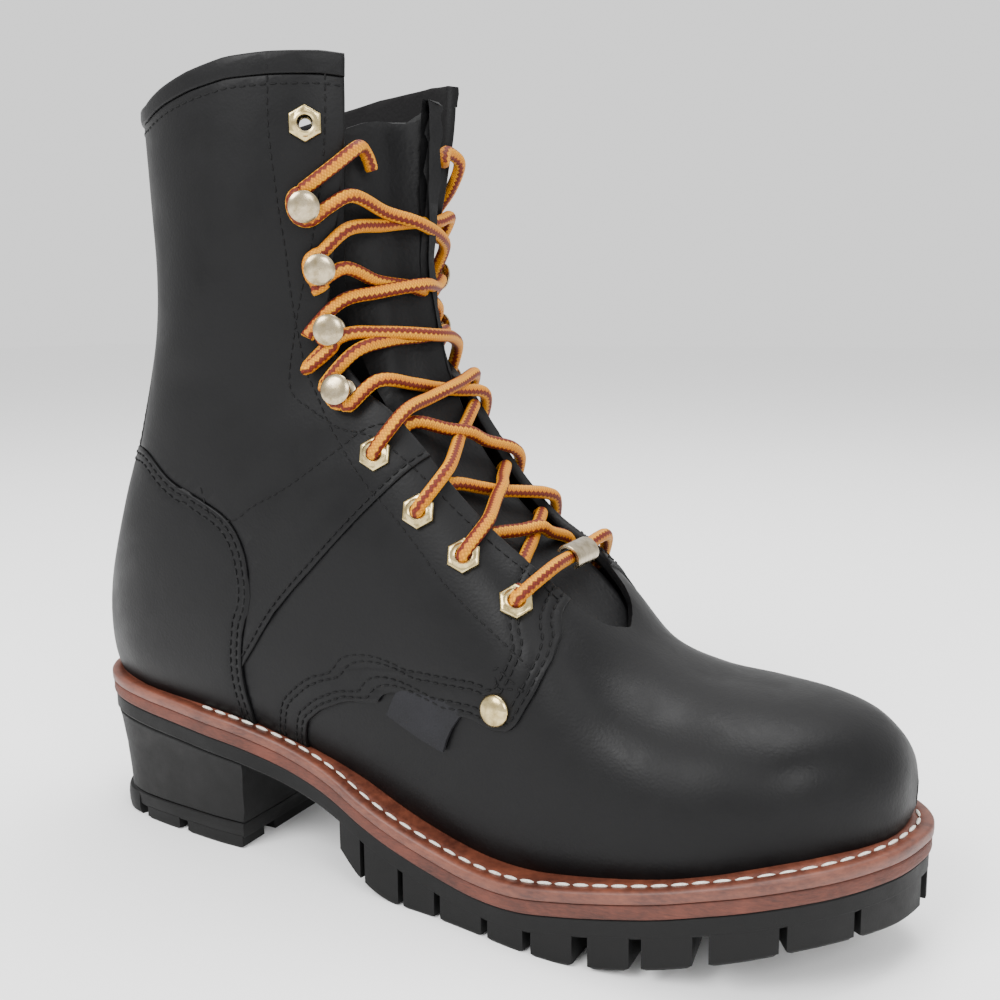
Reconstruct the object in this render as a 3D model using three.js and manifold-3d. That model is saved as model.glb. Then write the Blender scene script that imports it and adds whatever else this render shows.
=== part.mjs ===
// Steel toe boot: one right-foot black leather work boot, about nine inches tall, on a lugged rubber sole
// with a stacked heel. It is built as separate solids: sole pieces, insole, hollow upper, tongue, leather
// overlays, eyelets, hooks, lace crossings and lace ends.
// Millimetres. +X points to the toe, +Y to the inner side of the foot, +Z up.
// The origin is on the floor, under the middle of the heel.
import * as THREE from "three";
import { mergeVertices } from "three/addons/utils/BufferGeometryUtils.js";
import Module from "manifold-3d";

const wasm = await Module();
wasm.setup();

// Named sizes.
const SOLE_LENGTH = 320; // heel back to toe tip, on the brown edge
const BALL_WIDTH = 114; // widest place of the sole
const HEEL_RISE = 50; // floor to the underside of the brown layers, at the heel
const TALL = 283; // floor to the collar at the throat
const HEEL_CENTRE = 46; // heel back to the origin
const WALL = 2.4; // leather and lining of the upper
const FIT = 0.35; // space left between curved neighbours
const FLAT_FIT = 0.3; // space left between flat neighbours
const MIDSOLE_THICK = 4.8;
const WELT_THICK = 4.2;
const SHANK_THICK = 6.2; // rubber over the heel block and along the arch
const LIFT_THICK = 10; // rubber heel lift
const INSOLE_THICK = 3.2;
const LEATHER = 1.3; // one overlay
const LACE_RADIUS = 2.3;
const HEX_ACROSS = 12.2; // eyelet plate, corner to corner
const EYELET_BORE = 5.0;
const HOOK_CAP = 10.2;
const HOOK_HEIGHT = 8.8;

// Sole outline and heights, heel back to toe tip. along is a share of SOLE_LENGTH, outer and inner are
// shares of BALL_WIDTH to each side of the centre line, rise and tread are shares of HEEL_RISE.
const SOLE_ROWS = [
  { along: 0, outer: -0.0088, inner: 0.0088, rise: 1.016, tread: 0 },
  { along: 0.0044, outer: 0.0965, inner: 0.1053, rise: 1.014, tread: 0 },
  { along: 0.0156, outer: 0.1754, inner: 0.1798, rise: 1.01, tread: 0 },
  { along: 0.0375, outer: 0.2456, inner: 0.25, rise: 1, tread: 0 },
  { along: 0.0688, outer: 0.2912, inner: 0.2939, rise: 0.984, tread: 0 },
  { along: 0.1125, outer: 0.3175, inner: 0.3228, rise: 0.952, tread: 0.4 },
  { along: 0.1625, outer: 0.3351, inner: 0.3377, rise: 0.92, tread: 0.6 },
  { along: 0.2125, outer: 0.35, inner: 0.3351, rise: 0.884, tread: 0.6 },
  { along: 0.2625, outer: 0.3526, inner: 0.3202, rise: 0.84, tread: 0.6 },
  { along: 0.3125, outer: 0.3404, inner: 0.2939, rise: 0.756, tread: 0.48 },
  { along: 0.3563, outer: 0.3491, inner: 0.2807, rise: 0.68, tread: 0.4 },
  { along: 0.3937, outer: 0.3702, inner: 0.2895, rise: 0.608, tread: 0.3 },
  { along: 0.4313, outer: 0.3965, inner: 0.3158, rise: 0.516, tread: 0.11 },
  { along: 0.4719, outer: 0.4123, inner: 0.3509, rise: 0.416, tread: 0.008 },
  { along: 0.525, outer: 0.4281, inner: 0.3991, rise: 0.316, tread: 0 },
  { along: 0.5813, outer: 0.4561, inner: 0.4386, rise: 0.256, tread: 0 },
  { along: 0.6344, outer: 0.486, inner: 0.4781, rise: 0.264, tread: 0 },
  { along: 0.6813, outer: 0.4974, inner: 0.4982, rise: 0.312, tread: 0 },
  { along: 0.7312, outer: 0.4991, inner: 0.5018, rise: 0.372, tread: 0.04 },
  { along: 0.7812, outer: 0.4956, inner: 0.4912, rise: 0.44, tread: 0.116 },
  { along: 0.825, outer: 0.4842, inner: 0.4649, rise: 0.512, tread: 0.196 },
  { along: 0.8625, outer: 0.4632, inner: 0.4281, rise: 0.568, tread: 0.264 },
  { along: 0.9, outer: 0.4158, inner: 0.3737, rise: 0.612, tread: 0.32 },
  { along: 0.9344, outer: 0.3421, inner: 0.3053, rise: 0.636, tread: 0.348 },
  { along: 0.9625, outer: 0.2491, inner: 0.2333, rise: 0.648, tread: 0.348 },
  { along: 0.9828, outer: 0.1526, inner: 0.1702, rise: 0.652, tread: 0.34 },
  { along: 0.9956, outer: 0.0439, inner: 0.1053, rise: 0.652, tread: 0.332 },
  { along: 1, outer: -0.0281, inner: 0.0368, rise: 0.652, tread: 0.33 },
];

// Upper: a fan of sections from the toe tip to above the collar. Each section is spanned by its low or back
// point and its high or front point (shares of SOLE_LENGTH along and of TALL up). outer and inner are half
// widths and centre is a sideways shift, as shares of BALL_WIDTH. waist is the share of the span where the
// section is widest. low and high are the roundness exponents under and over that place. spread moves the
// high point of the inner side on along the span, as a share of BALL_WIDTH: the inner flap stands more open.
const UPPER_ROWS = [
  { lowAlong: 0.9819, lowUp: 0.1625, highAlong: 0.9828, highUp: 0.1926, outer: 0.0175, inner: 0.0175, centre: 0.0482, waist: 0.5, low: 2.2, high: 2.2, spread: 0 },
  { lowAlong: 0.975, lowUp: 0.1449, highAlong: 0.9756, highUp: 0.2191, outer: 0.1184, inner: 0.114, centre: 0.0395, waist: 0.45, low: 2.6, high: 2.3, spread: 0 },
  { lowAlong: 0.9594, lowUp: 0.1272, highAlong: 0.96, highUp: 0.2438, outer: 0.193, inner: 0.1798, centre: 0.0281, waist: 0.42, low: 2.8, high: 2.4, spread: 0 },
  { lowAlong: 0.9313, lowUp: 0.1095, highAlong: 0.9319, highUp: 0.265, outer: 0.2719, inner: 0.25, centre: 0.0175, waist: 0.42, low: 3, high: 2.5, spread: 0 },
  { lowAlong: 0.8875, lowUp: 0.0954, highAlong: 0.8884, highUp: 0.2774, outer: 0.3596, inner: 0.3246, centre: 0.007, waist: 0.42, low: 3.2, high: 2.5, spread: 0 },
  { lowAlong: 0.8313, lowUp: 0.0777, highAlong: 0.8325, highUp: 0.2827, outer: 0.4175, inner: 0.3947, centre: 0.0018, waist: 0.42, low: 3.3, high: 2.5, spread: 0 },
  { lowAlong: 0.7688, lowUp: 0.0636, highAlong: 0.7712, highUp: 0.2898, outer: 0.4368, inner: 0.4263, centre: 0, waist: 0.42, low: 3.3, high: 2.45, spread: 0 },
  { lowAlong: 0.7, lowUp: 0.0459, highAlong: 0.7125, highUp: 0.3145, outer: 0.4298, inner: 0.4254, centre: 0, waist: 0.41, low: 3.3, high: 2.6, spread: 0 },
  { lowAlong: 0.6375, lowUp: 0.0371, highAlong: 0.6641, highUp: 0.3587, outer: 0.4167, inner: 0.4035, centre: 0, waist: 0.4, low: 3.3, high: 3, spread: 0.0307 },
  { lowAlong: 0.5687, lowUp: 0.0389, highAlong: 0.6203, highUp: 0.4028, outer: 0.3965, inner: 0.3684, centre: 0, waist: 0.4, low: 3.2, high: 3.5, spread: 0.0307 },
  { lowAlong: 0.4875, lowUp: 0.0601, highAlong: 0.575, highUp: 0.447, outer: 0.3684, inner: 0.3333, centre: 0, waist: 0.39, low: 3.1, high: 3.9, spread: 0.0132 },
  { lowAlong: 0.4062, lowUp: 0.0919, highAlong: 0.5344, highUp: 0.4947, outer: 0.3465, inner: 0.3114, centre: 0, waist: 0.38, low: 3, high: 4.2, spread: 0.0132 },
  { lowAlong: 0.325, lowUp: 0.1201, highAlong: 0.5009, highUp: 0.5477, outer: 0.3351, inner: 0.307, centre: 0, waist: 0.37, low: 3, high: 4.2, spread: 0.0175 },
  { lowAlong: 0.2375, lowUp: 0.1396, highAlong: 0.4759, highUp: 0.6007, outer: 0.3316, inner: 0.3114, centre: 0, waist: 0.36, low: 3, high: 3.8, spread: 0.0351 },
  { lowAlong: 0.1437, lowUp: 0.1519, highAlong: 0.4609, highUp: 0.6537, outer: 0.3289, inner: 0.3202, centre: 0, waist: 0.36, low: 2.9, high: 3.2, spread: 0.0526 },
  { lowAlong: 0.0625, lowUp: 0.1625, highAlong: 0.4516, highUp: 0.7032, outer: 0.3289, inner: 0.3246, centre: 0, waist: 0.38, low: 2.6, high: 2.8, spread: 0.0702 },
  { lowAlong: 0.0156, lowUp: 0.2049, highAlong: 0.4453, highUp: 0.7456, outer: 0.3289, inner: 0.3289, centre: 0, waist: 0.41, low: 2.35, high: 2.5, spread: 0.0877 },
  { lowAlong: 0.0094, lowUp: 0.3004, highAlong: 0.4422, highUp: 0.788, outer: 0.3377, inner: 0.3377, centre: 0, waist: 0.45, low: 2.15, high: 2.4, spread: 0.1053 },
  { lowAlong: 0.0375, lowUp: 0.4064, highAlong: 0.44, highUp: 0.8304, outer: 0.3509, inner: 0.3509, centre: 0, waist: 0.48, low: 2.05, high: 2.3, spread: 0.114 },
  { lowAlong: 0.0766, lowUp: 0.5159, highAlong: 0.4384, highUp: 0.8728, outer: 0.3684, inner: 0.3684, centre: 0, waist: 0.5, low: 2.05, high: 2.25, spread: 0.1228 },
  { lowAlong: 0.1062, lowUp: 0.6219, highAlong: 0.4375, highUp: 0.9117, outer: 0.386, inner: 0.386, centre: 0, waist: 0.5, low: 2.05, high: 2.2, spread: 0.1228 },
  { lowAlong: 0.1203, lowUp: 0.7314, highAlong: 0.4375, highUp: 0.9505, outer: 0.3965, inner: 0.3965, centre: 0, waist: 0.5, low: 2.05, high: 2.2, spread: 0.1228 },
  { lowAlong: 0.1172, lowUp: 0.8481, highAlong: 0.4375, highUp: 0.9929, outer: 0.4035, inner: 0.4035, centre: 0, waist: 0.5, low: 2.05, high: 2.2, spread: 0.1228 },
  { lowAlong: 0.1125, lowUp: 0.9823, highAlong: 0.4375, highUp: 1.0565, outer: 0.4079, inner: 0.4079, centre: 0, waist: 0.5, low: 2.05, high: 2.2, spread: 0.1228 },
];

// Half the throat opening along the same fan of sections, as a share of BALL_WIDTH.
const THROAT_ROWS = [
  { place: 7.55, outer: 0.0614, inner: 0.0614 },
  { place: 7.7, outer: 0.1053, inner: 0.1053 },
  { place: 8, outer: 0.1404, inner: 0.1404 },
  { place: 8.4, outer: 0.1623, inner: 0.1623 },
  { place: 9, outer: 0.1798, inner: 0.1798 },
  { place: 10, outer: 0.1974, inner: 0.1974 },
  { place: 12, outer: 0.2237, inner: 0.2149 },
  { place: 14, outer: 0.2456, inner: 0.2412 },
  { place: 16, outer: 0.25, inner: 0.2632 },
  { place: 20, outer: 0.25, inner: 0.2895 },
  { place: 23, outer: 0.25, inner: 0.2982 },
];

// Tongue: half width and depth under the outer surface (shares of BALL_WIDTH) along the fan.
const TONGUE_ROWS = [
  { place: 7.3, half: 0.1754, depth: 0.0316 },
  { place: 8, half: 0.2105, depth: 0.0333 },
  { place: 9, half: 0.2281, depth: 0.0368 },
  { place: 10, half: 0.2368, depth: 0.0439 },
  { place: 12, half: 0.2368, depth: 0.0526 },
  { place: 14, half: 0.2368, depth: 0.0614 },
  { place: 16, half: 0.2281, depth: 0.0658 },
  { place: 18, half: 0.2237, depth: 0.0702 },
  { place: 20, half: 0.2193, depth: 0.0746 },
  { place: 20.6, half: 0.2105, depth: 0.0772 },
];

// Side outlines of the leather panels, as [along, up] shares of SOLE_LENGTH and TALL.
const COUNTER_EDGE = [
  [-0.0688, 0.5336],
  [0.0563, 0.5318],
  [0.1031, 0.53],
  [0.1459, 0.5272],
  [0.1859, 0.4929],
  [0.2225, 0.4724],
  [0.2584, 0.4495],
  [0.2781, 0.4177],
  [0.2859, 0.3802],
  [0.2841, 0.3399],
  [0.275, 0.2954],
  [0.2716, 0.2509],
  [0.2756, 0.2049],
];
const SHAFT_EDGE = [
  [0.1969, 0.1519],
  [0.2809, 0.2728],
  [0.3244, 0.3406],
  [0.3775, 0.4021],
  [0.4278, 0.4594],
  [0.4609, 0.4954],
  [0.4956, 0.5336],
  [0.5625, 0.6042],
];
const QUARTER_EDGE = [
  [0.3656, 0.106],
  [0.3666, 0.1834],
  [0.3688, 0.2095],
  [0.3869, 0.2279],
  [0.42, 0.2509],
  [0.4528, 0.2625],
  [0.4838, 0.265],
  [0.53, 0.2555],
  [0.5737, 0.2477],
  [0.6084, 0.2371],
  [0.6253, 0.2495],
  [0.6459, 0.2922],
  [0.6663, 0.3336],
  [0.6719, 0.364],
  [0.675, 0.4417],
];
const COLLAR_TOP = [
  [-0.1625, 0.9611],
  [0.0719, 0.9594],
  [0.1344, 0.9558],
  [0.1781, 0.9576],
  [0.2188, 0.9717],
  [0.2594, 0.9837],
  [0.3063, 0.9943],
  [0.35, 0.9979],
  [0.3937, 0.9993],
  [0.4281, 0.9951],
  [0.4938, 0.9859],
];
const COLLAR_BAND_DEPTH = [
  [-0.0063, 3.6],
  [0.1187, 4.4],
  [0.2437, 6],
  [0.3375, 7],
  [0.4625, 7.5],
];
// Half width of the strip up the back of the shaft, as [share of TALL, share of BALL_WIDTH].
const BACKSTAY_EDGE = [
  [0.4417, 0.2368],
  [0.53, 0.2412],
  [0.5936, 0.2325],
  [0.689, 0.2149],
  [0.8304, 0.1798],
  [0.9011, 0.1623],
  [1.0601, 0.1579],
];
const TAB_EDGE = [
  [0.4972, 0.2633],
  [0.5681, 0.2523],
  [0.5456, 0.2067],
  [0.4809, 0.2435],
];

// Eyelets and hooks, low to high: along, up and aside as shares of SOLE_LENGTH, TALL and BALL_WIDTH.
const HARDWARE_ROWS = [
  { along: 0.6084, up: 0.3767, aside: 0.2982 },
  { along: 0.55, up: 0.424, aside: 0.2895 },
  { along: 0.4987, up: 0.4735, aside: 0.2895 },
  { along: 0.4469, up: 0.5392, aside: 0.2895 },
  { along: 0.4072, up: 0.6131, aside: 0.3061 },
  { along: 0.3956, up: 0.6848, aside: 0.3053 },
  { along: 0.3884, up: 0.7555, aside: 0.3123 },
  { along: 0.3788, up: 0.8269, aside: 0.3421 },
  { along: 0.3828, up: 0.9187, aside: 0.3404 },
];
const RIVET_ROW = { along: 0.6041, up: 0.2647, aside: 0.3947 };

// Colours of the parts.
const COLOURS = {
  leather: [0x222224, 0.55, 0],
  lining: [0x3a3532, 0.9, 0],
  rubber: [0x1c1c1e, 0.8, 0],
  welt: [0x7a4636, 0.6, 0],
  midsole: [0x6e3c2e, 0.75, 0],
  insole: [0x4a3a2c, 0.9, 0],
  pale: [0xc9bfa6, 0.35, 0.8],
  nickel: [0xb9b4aa, 0.3, 0.9],
  lace: [0xd9a03c, 0.85, 0],
};

const boot = new THREE.Group();

// Values between the rows of a table, by a smooth curve through them.
function catmull(a, b, c, d, t) {
  const t2 = t * t;
  const t3 = t2 * t;
  return 0.5 * (2 * b + (c - a) * t + (2 * a - 5 * b + 4 * c - d) * t2 + (3 * b - a - 3 * c + d) * t3);
}

function rowAt(rows, place) {
  const last = rows.length - 1;
  const s = Math.min(Math.max(place, 0), last);
  const i = Math.min(Math.floor(s), last - 1);
  const t = s - i;
  const before = rows[Math.max(i - 1, 0)];
  const after = rows[Math.min(i + 2, last)];
  const out = {};
  for (const key of Object.keys(rows[0])) {
    out[key] = catmull(before[key], rows[i][key], rows[i + 1][key], after[key], t);
  }
  return out;
}

// Straight-line values of a two-column table.
function lerpTable(table, x) {
  const last = table.length - 1;
  if (x <= table[0][0]) {
    return table[0][1];
  }
  for (let i = 0; i < last; i += 1) {
    const [x0, y0] = table[i];
    const [x1, y1] = table[i + 1];
    if (x <= x1) {
      return y0 + ((y1 - y0) * (x - x0)) / (x1 - x0);
    }
  }
  return table[last][1];
}

function alongToX(share) {
  return share * SOLE_LENGTH - HEEL_CENTRE;
}

// A point of the upper's outer surface on section s. turn runs 0 at the low or back point, a quarter turn
// at the widest place of the outer side, half a turn at the high or front point, and on round the inner side.
function skinPoint(s, turn) {
  const row = rowAt(UPPER_ROWS, s);
  const low = new THREE.Vector3(alongToX(row.lowAlong), 0, row.lowUp * TALL);
  const high = new THREE.Vector3(alongToX(row.highAlong), 0, row.highUp * TALL);
  const angle = turn * 2 * Math.PI;
  const across = Math.sin(angle);
  const up = -Math.cos(angle);
  const below = up < 0;
  const power = 2 / (below ? row.low : row.high);
  const u = Math.sign(across) * Math.abs(across) ** power;
  const v = Math.abs(up) ** power;
  const share = below ? row.waist * (1 - v) : row.waist + (1 - row.waist) * v;
  const width = (across > 0 ? row.outer : row.inner) * BALL_WIDTH;
  if (across < 0) {
    const reach = low.distanceTo(high);
    high.lerpVectors(low, high.clone(), 1 + (row.spread * BALL_WIDTH * Math.min(1, -across * 6)) / reach);
  }
  const point = low.lerp(high, share);
  point.y = row.centre * BALL_WIDTH - u * width;
  return point;
}

function skinNormal(s, turn) {
  const ds = 0.02;
  const dt = 0.002;
  const last = UPPER_ROWS.length - 1;
  const s0 = Math.max(s - ds, 0);
  const s1 = Math.min(s + ds, last);
  const alongS = skinPoint(s1, turn).sub(skinPoint(s0, turn));
  const alongT = skinPoint(s, turn + dt).sub(skinPoint(s, turn - dt));
  return alongT.cross(alongS).normalize();
}

function skin(s, turn, lift) {
  return skinPoint(s, turn).addScaledVector(skinNormal(s, turn), lift);
}

// The turn at which section s has the sideways value y on its high or front side.
function frontTurn(s, y) {
  let a = y < 0 ? 0.25 : 0.5;
  let b = y < 0 ? 0.5 : 0.75;
  for (let i = 0; i < 40; i += 1) {
    const mid = (a + b) / 2;
    if (skinPoint(s, mid).y < y) {
      a = mid;
    } else {
      b = mid;
    }
  }
  return (a + b) / 2;
}

// A closed solid from rings of points, all with the same count, end to end.
function ringSolid(rings) {
  const count = rings[0].length;
  const positions = [];
  const index = [];
  for (const ring of rings) {
    for (const p of ring) {
      positions.push(p.x, p.y, p.z);
    }
  }
  for (let r = 0; r + 1 < rings.length; r += 1) {
    for (let k = 0; k < count; k += 1) {
      const n = (k + 1) % count;
      const a = r * count + k;
      const b = r * count + n;
      const c = (r + 1) * count + k;
      const d = (r + 1) * count + n;
      index.push(a, b, d, a, d, c);
    }
  }
  for (const end of [0, rings.length - 1]) {
    const middle = new THREE.Vector3();
    for (const p of rings[end]) {
      middle.addScaledVector(p, 1 / count);
    }
    const m = positions.length / 3;
    positions.push(middle.x, middle.y, middle.z);
    for (let k = 0; k < count; k += 1) {
      const a = end * count + k;
      const b = end * count + ((k + 1) % count);
      if (end === 0) {
        index.push(m, b, a);
      } else {
        index.push(m, a, b);
      }
    }
  }
  const geometry = new THREE.BufferGeometry();
  geometry.setAttribute("position", new THREE.Float32BufferAttribute(positions, 3));
  geometry.setIndex(index);
  return asManifold(geometry);
}

function signedVolume(geometry) {
  const p = geometry.attributes.position;
  const ix = geometry.index;
  const a = new THREE.Vector3();
  const b = new THREE.Vector3();
  const c = new THREE.Vector3();
  let total = 0;
  for (let i = 0; i < ix.count; i += 3) {
    a.fromBufferAttribute(p, ix.getX(i));
    b.fromBufferAttribute(p, ix.getX(i + 1));
    c.fromBufferAttribute(p, ix.getX(i + 2));
    total += a.dot(b.cross(c)) / 6;
  }
  return total;
}

function asManifold(source) {
  let geometry = source.clone();
  geometry.deleteAttribute("normal");
  geometry.deleteAttribute("uv");
  geometry = mergeVertices(geometry, 1e-4);
  const tri = Array.from(geometry.index.array);
  const kept = [];
  for (let i = 0; i < tri.length; i += 3) {
    if (tri[i] !== tri[i + 1] && tri[i + 1] !== tri[i + 2] && tri[i] !== tri[i + 2]) {
      kept.push(tri[i], tri[i + 1], tri[i + 2]);
    }
  }
  geometry.setIndex(kept);
  if (signedVolume(geometry) < 0) {
    for (let i = 0; i < kept.length; i += 3) {
      [kept[i + 1], kept[i + 2]] = [kept[i + 2], kept[i + 1]];
    }
  }
  const mesh = new wasm.Mesh({
    numProp: 3,
    vertProperties: new Float32Array(geometry.attributes.position.array),
    triVerts: new Uint32Array(kept),
  });
  return new wasm.Manifold(mesh);
}

// The largest piece of a solid, so that no crumb of a cut stays.
function largest(solid) {
  const parts = solid.decompose();
  let best = parts[0];
  for (const part of parts) {
    if (part.volume() > best.volume()) {
      best = part;
    }
  }
  return best;
}

// Edges shorter than this are closed up after the cuts.
const FINEST = 0.01;

function addPart(name, solid, colour) {
  const mesh = largest(solid).simplify(FINEST).getMesh();
  const geometry = new THREE.BufferGeometry();
  const xyz = new Float32Array((mesh.vertProperties.length / mesh.numProp) * 3);
  for (let i = 0, j = 0; i < mesh.vertProperties.length; i += mesh.numProp, j += 3) {
    xyz.set(mesh.vertProperties.subarray(i, i + 3), j);
  }
  geometry.setAttribute("position", new THREE.BufferAttribute(xyz, 3));
  geometry.setIndex(new THREE.BufferAttribute(new Uint32Array(mesh.triVerts), 1));
  const [hex, roughness, metalness] = COLOURS[colour];
  const material = new THREE.MeshStandardMaterial({ color: hex, roughness, metalness });
  const part = new THREE.Mesh(geometry, material);
  part.name = name;
  boot.add(part);
}

// Sole.
const SOLE_STEPS = 24;

function soleRow(share) {
  let i = 0;
  while (i < SOLE_ROWS.length - 2 && SOLE_ROWS[i + 1].along < share) {
    i += 1;
  }
  const a = SOLE_ROWS[i];
  const b = SOLE_ROWS[i + 1];
  const t = Math.min(Math.max((share - a.along) / (b.along - a.along), 0), 1);
  const before = SOLE_ROWS[Math.max(i - 1, 0)];
  const after = SOLE_ROWS[Math.min(i + 2, SOLE_ROWS.length - 1)];
  const out = {};
  for (const key of Object.keys(a)) {
    // Slopes that fit uneven steps along the sole.
    const step = b.along - a.along;
    const slopeA = key === "along" ? 1 : (b[key] - before[key]) / (b.along - before.along || step);
    const slopeB = key === "along" ? 1 : (after[key] - a[key]) / (after.along - a.along || step);
    const t2 = t * t;
    const t3 = t2 * t;
    out[key] =
      (2 * t3 - 3 * t2 + 1) * a[key] +
      (t3 - 2 * t2 + t) * step * slopeA +
      (3 * t2 - 2 * t3) * b[key] +
      (t3 - t2) * step * slopeB;
  }
  return out;
}

function riseAt(x) {
  return soleRow((x + HEEL_CENTRE) / SOLE_LENGTH).rise * HEEL_RISE;
}

function treadAt(x) {
  return Math.max(soleRow((x + HEEL_CENTRE) / SOLE_LENGTH).tread * HEEL_RISE, 0);
}

// The closed plan outline of the sole, moved inward by inset, as [x, y] points.
function solePlan(inset) {
  const outer = [];
  const inner = [];
  for (const row of SOLE_ROWS) {
    const x = alongToX(row.along);
    outer.push(new THREE.Vector3(x, -row.outer * BALL_WIDTH, 0));
    inner.push(new THREE.Vector3(x, row.inner * BALL_WIDTH, 0));
  }
  const loop = [...outer, ...inner.slice(1, -1).reverse()];
  const curve = new THREE.CatmullRomCurve3(loop, true, "centripetal");
  const points = curve.getPoints(160).slice(0, -1);
  return points.map((p, i) => {
    const a = points[(i + 159) % 160];
    const b = points[(i + 1) % 160];
    const tangent = b.clone().sub(a).normalize();
    return new THREE.Vector2(p.x - tangent.y * inset, p.y + tangent.x * inset);
  });
}

// The two edges of a plan outline at x.
function planEdges(plan, x) {
  let low = Infinity;
  let high = -Infinity;
  for (let i = 0; i < plan.length; i += 1) {
    const a = plan[i];
    const b = plan[(i + 1) % plan.length];
    if ((a.x - x) * (b.x - x) <= 0 && a.x !== b.x) {
      const y = a.y + ((b.y - a.y) * (x - a.x)) / (b.x - a.x);
      low = Math.min(low, y);
      high = Math.max(high, y);
    }
  }
  return [low, high];
}

// A layer of the sole between two height functions, from x0 to x1, or from end to end of the outline.
function soleLayer(inset, bottomAt, topAt, x0 = -Infinity, x1 = Infinity, steps = SOLE_STEPS) {
  const plan = solePlan(inset);
  const xs = plan.map((p) => p.x);
  const from = Math.max(Math.min(...xs) + 0.15, x0);
  const to = Math.min(Math.max(...xs) - 0.15, x1);
  const rings = [];
  for (let i = 0; i <= steps; i += 1) {
    const even = i / steps;
    const eased = (1 - Math.cos(Math.PI * even)) / 2;
    const share = x0 === -Infinity && x1 === Infinity ? 0.35 * even + 0.65 * eased : even;
    const x = from + (to - from) * share;
    const [outer, inner] = planEdges(plan, x);
    const low = bottomAt(x);
    const high = topAt(x);
    rings.push([
      new THREE.Vector3(x, outer, low),
      new THREE.Vector3(x, inner, low),
      new THREE.Vector3(x, inner, high),
      new THREE.Vector3(x, outer, high),
    ]);
  }
  return ringSolid(rings);
}

// A prism from a side outline of [x, z] points, between two y values.
function sidePrism(outline, y0, y1) {
  const shape = new THREE.Shape(outline.map(([x, z]) => new THREE.Vector2(x, z)));
  const geometry = new THREE.ExtrudeGeometry(shape, { depth: y1 - y0, bevelEnabled: false, steps: 1 });
  geometry.rotateX(Math.PI / 2);
  geometry.translate(0, y1, 0);
  return asManifold(geometry);
}

// A prism from an outline of [y, z] points, between two x values.
function backPrism(outline, x0, x1) {
  const shape = new THREE.Shape(outline.map(([y, z]) => new THREE.Vector2(y, z)));
  const geometry = new THREE.ExtrudeGeometry(shape, { depth: x1 - x0, bevelEnabled: false, steps: 1 });
  const turn = new THREE.Matrix4().makeBasis(
    new THREE.Vector3(0, 1, 0),
    new THREE.Vector3(0, 0, 1),
    new THREE.Vector3(1, 0, 0),
  );
  geometry.applyMatrix4(turn);
  geometry.translate(x0, 0, 0);
  return asManifold(geometry);
}

function block(x0, x1, y0, y1, z0, z1, turnZ = 0) {
  const geometry = new THREE.BoxGeometry(x1 - x0, y1 - y0, z1 - z0);
  geometry.rotateZ(turnZ);
  geometry.translate((x0 + x1) / 2, (y0 + y1) / 2, (z0 + z1) / 2);
  return asManifold(geometry);
}

// Heel lift and heel block: stacked rings of a plan with a straight front edge.
function heelStack(insetLow, insetHigh, frontLow, frontHigh, bottomAt, topAt) {
  const rings = [];
  for (const level of [0, 1]) {
    const plan = solePlan(level === 0 ? insetLow : insetHigh);
    const front = level === 0 ? frontLow : frontHigh;
    const xs = plan.map((p) => p.x);
    const from = Math.min(...xs) + 0.1;
    const ring = [];
    const steps = 13;
    for (let i = 0; i <= steps; i += 1) {
      const x = front + (from - front) * Math.sin((Math.PI / 2) * (i / steps));
      const [outer] = planEdges(plan, x);
      ring.push([x, outer]);
    }
    for (let i = steps; i >= 0; i -= 1) {
      const x = front + (from - front) * Math.sin((Math.PI / 2) * (i / steps));
      const [, inner] = planEdges(plan, x);
      ring.push([x, inner]);
    }
    rings.push(ring.map(([x, y]) => new THREE.Vector3(x, y, level === 0 ? bottomAt(x) : topAt(x))));
  }
  return ringSolid(rings);
}

const HEEL_FRONT_LOW = 34;
const HEEL_FRONT_HIGH = 38;
const BLOCK_INSET_HIGH = 2.4;
const BLOCK_INSET_LOW = 6.4;
const LIFT_INSET_HIGH = 5.2;
const LIFT_INSET_LOW = 6.6;
const blockFrontLow = HEEL_FRONT_LOW + (HEEL_FRONT_HIGH - HEEL_FRONT_LOW) * 0.3;

const shankBottomAt = (x) => riseAt(x) - FLAT_FIT - SHANK_THICK;

let lift = heelStack(LIFT_INSET_LOW, LIFT_INSET_HIGH, HEEL_FRONT_LOW, HEEL_FRONT_LOW + 1, () => 0, () => LIFT_THICK);
// Wedge notches round the edge of the heel lift, and a cross channel under it.
for (const [x, y, turn] of [
  [-22, -34, 0.5],
  [2, -36, 0.1],
  [-22, 34, -0.5],
  [2, 36, -0.1],
]) {
  lift = lift.subtract(block(x - 2.2, x + 2.2, y - 9, y + 9, -5, 5.2, turn));
}
lift = lift.subtract(block(-12, -7.5, -20, 20, -5, 4.4));
lift = lift.subtract(block(8, 12.5, -20, 20, -5, 4.4));
addPart("heel_lift", lift, "rubber");

addPart(
  "heel_block",
  heelStack(
    BLOCK_INSET_LOW,
    BLOCK_INSET_HIGH,
    blockFrontLow,
    HEEL_FRONT_HIGH,
    () => LIFT_THICK + FLAT_FIT,
    (x) => shankBottomAt(x) - FLAT_FIT - 0.3,
  ),
  "rubber",
);

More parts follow.
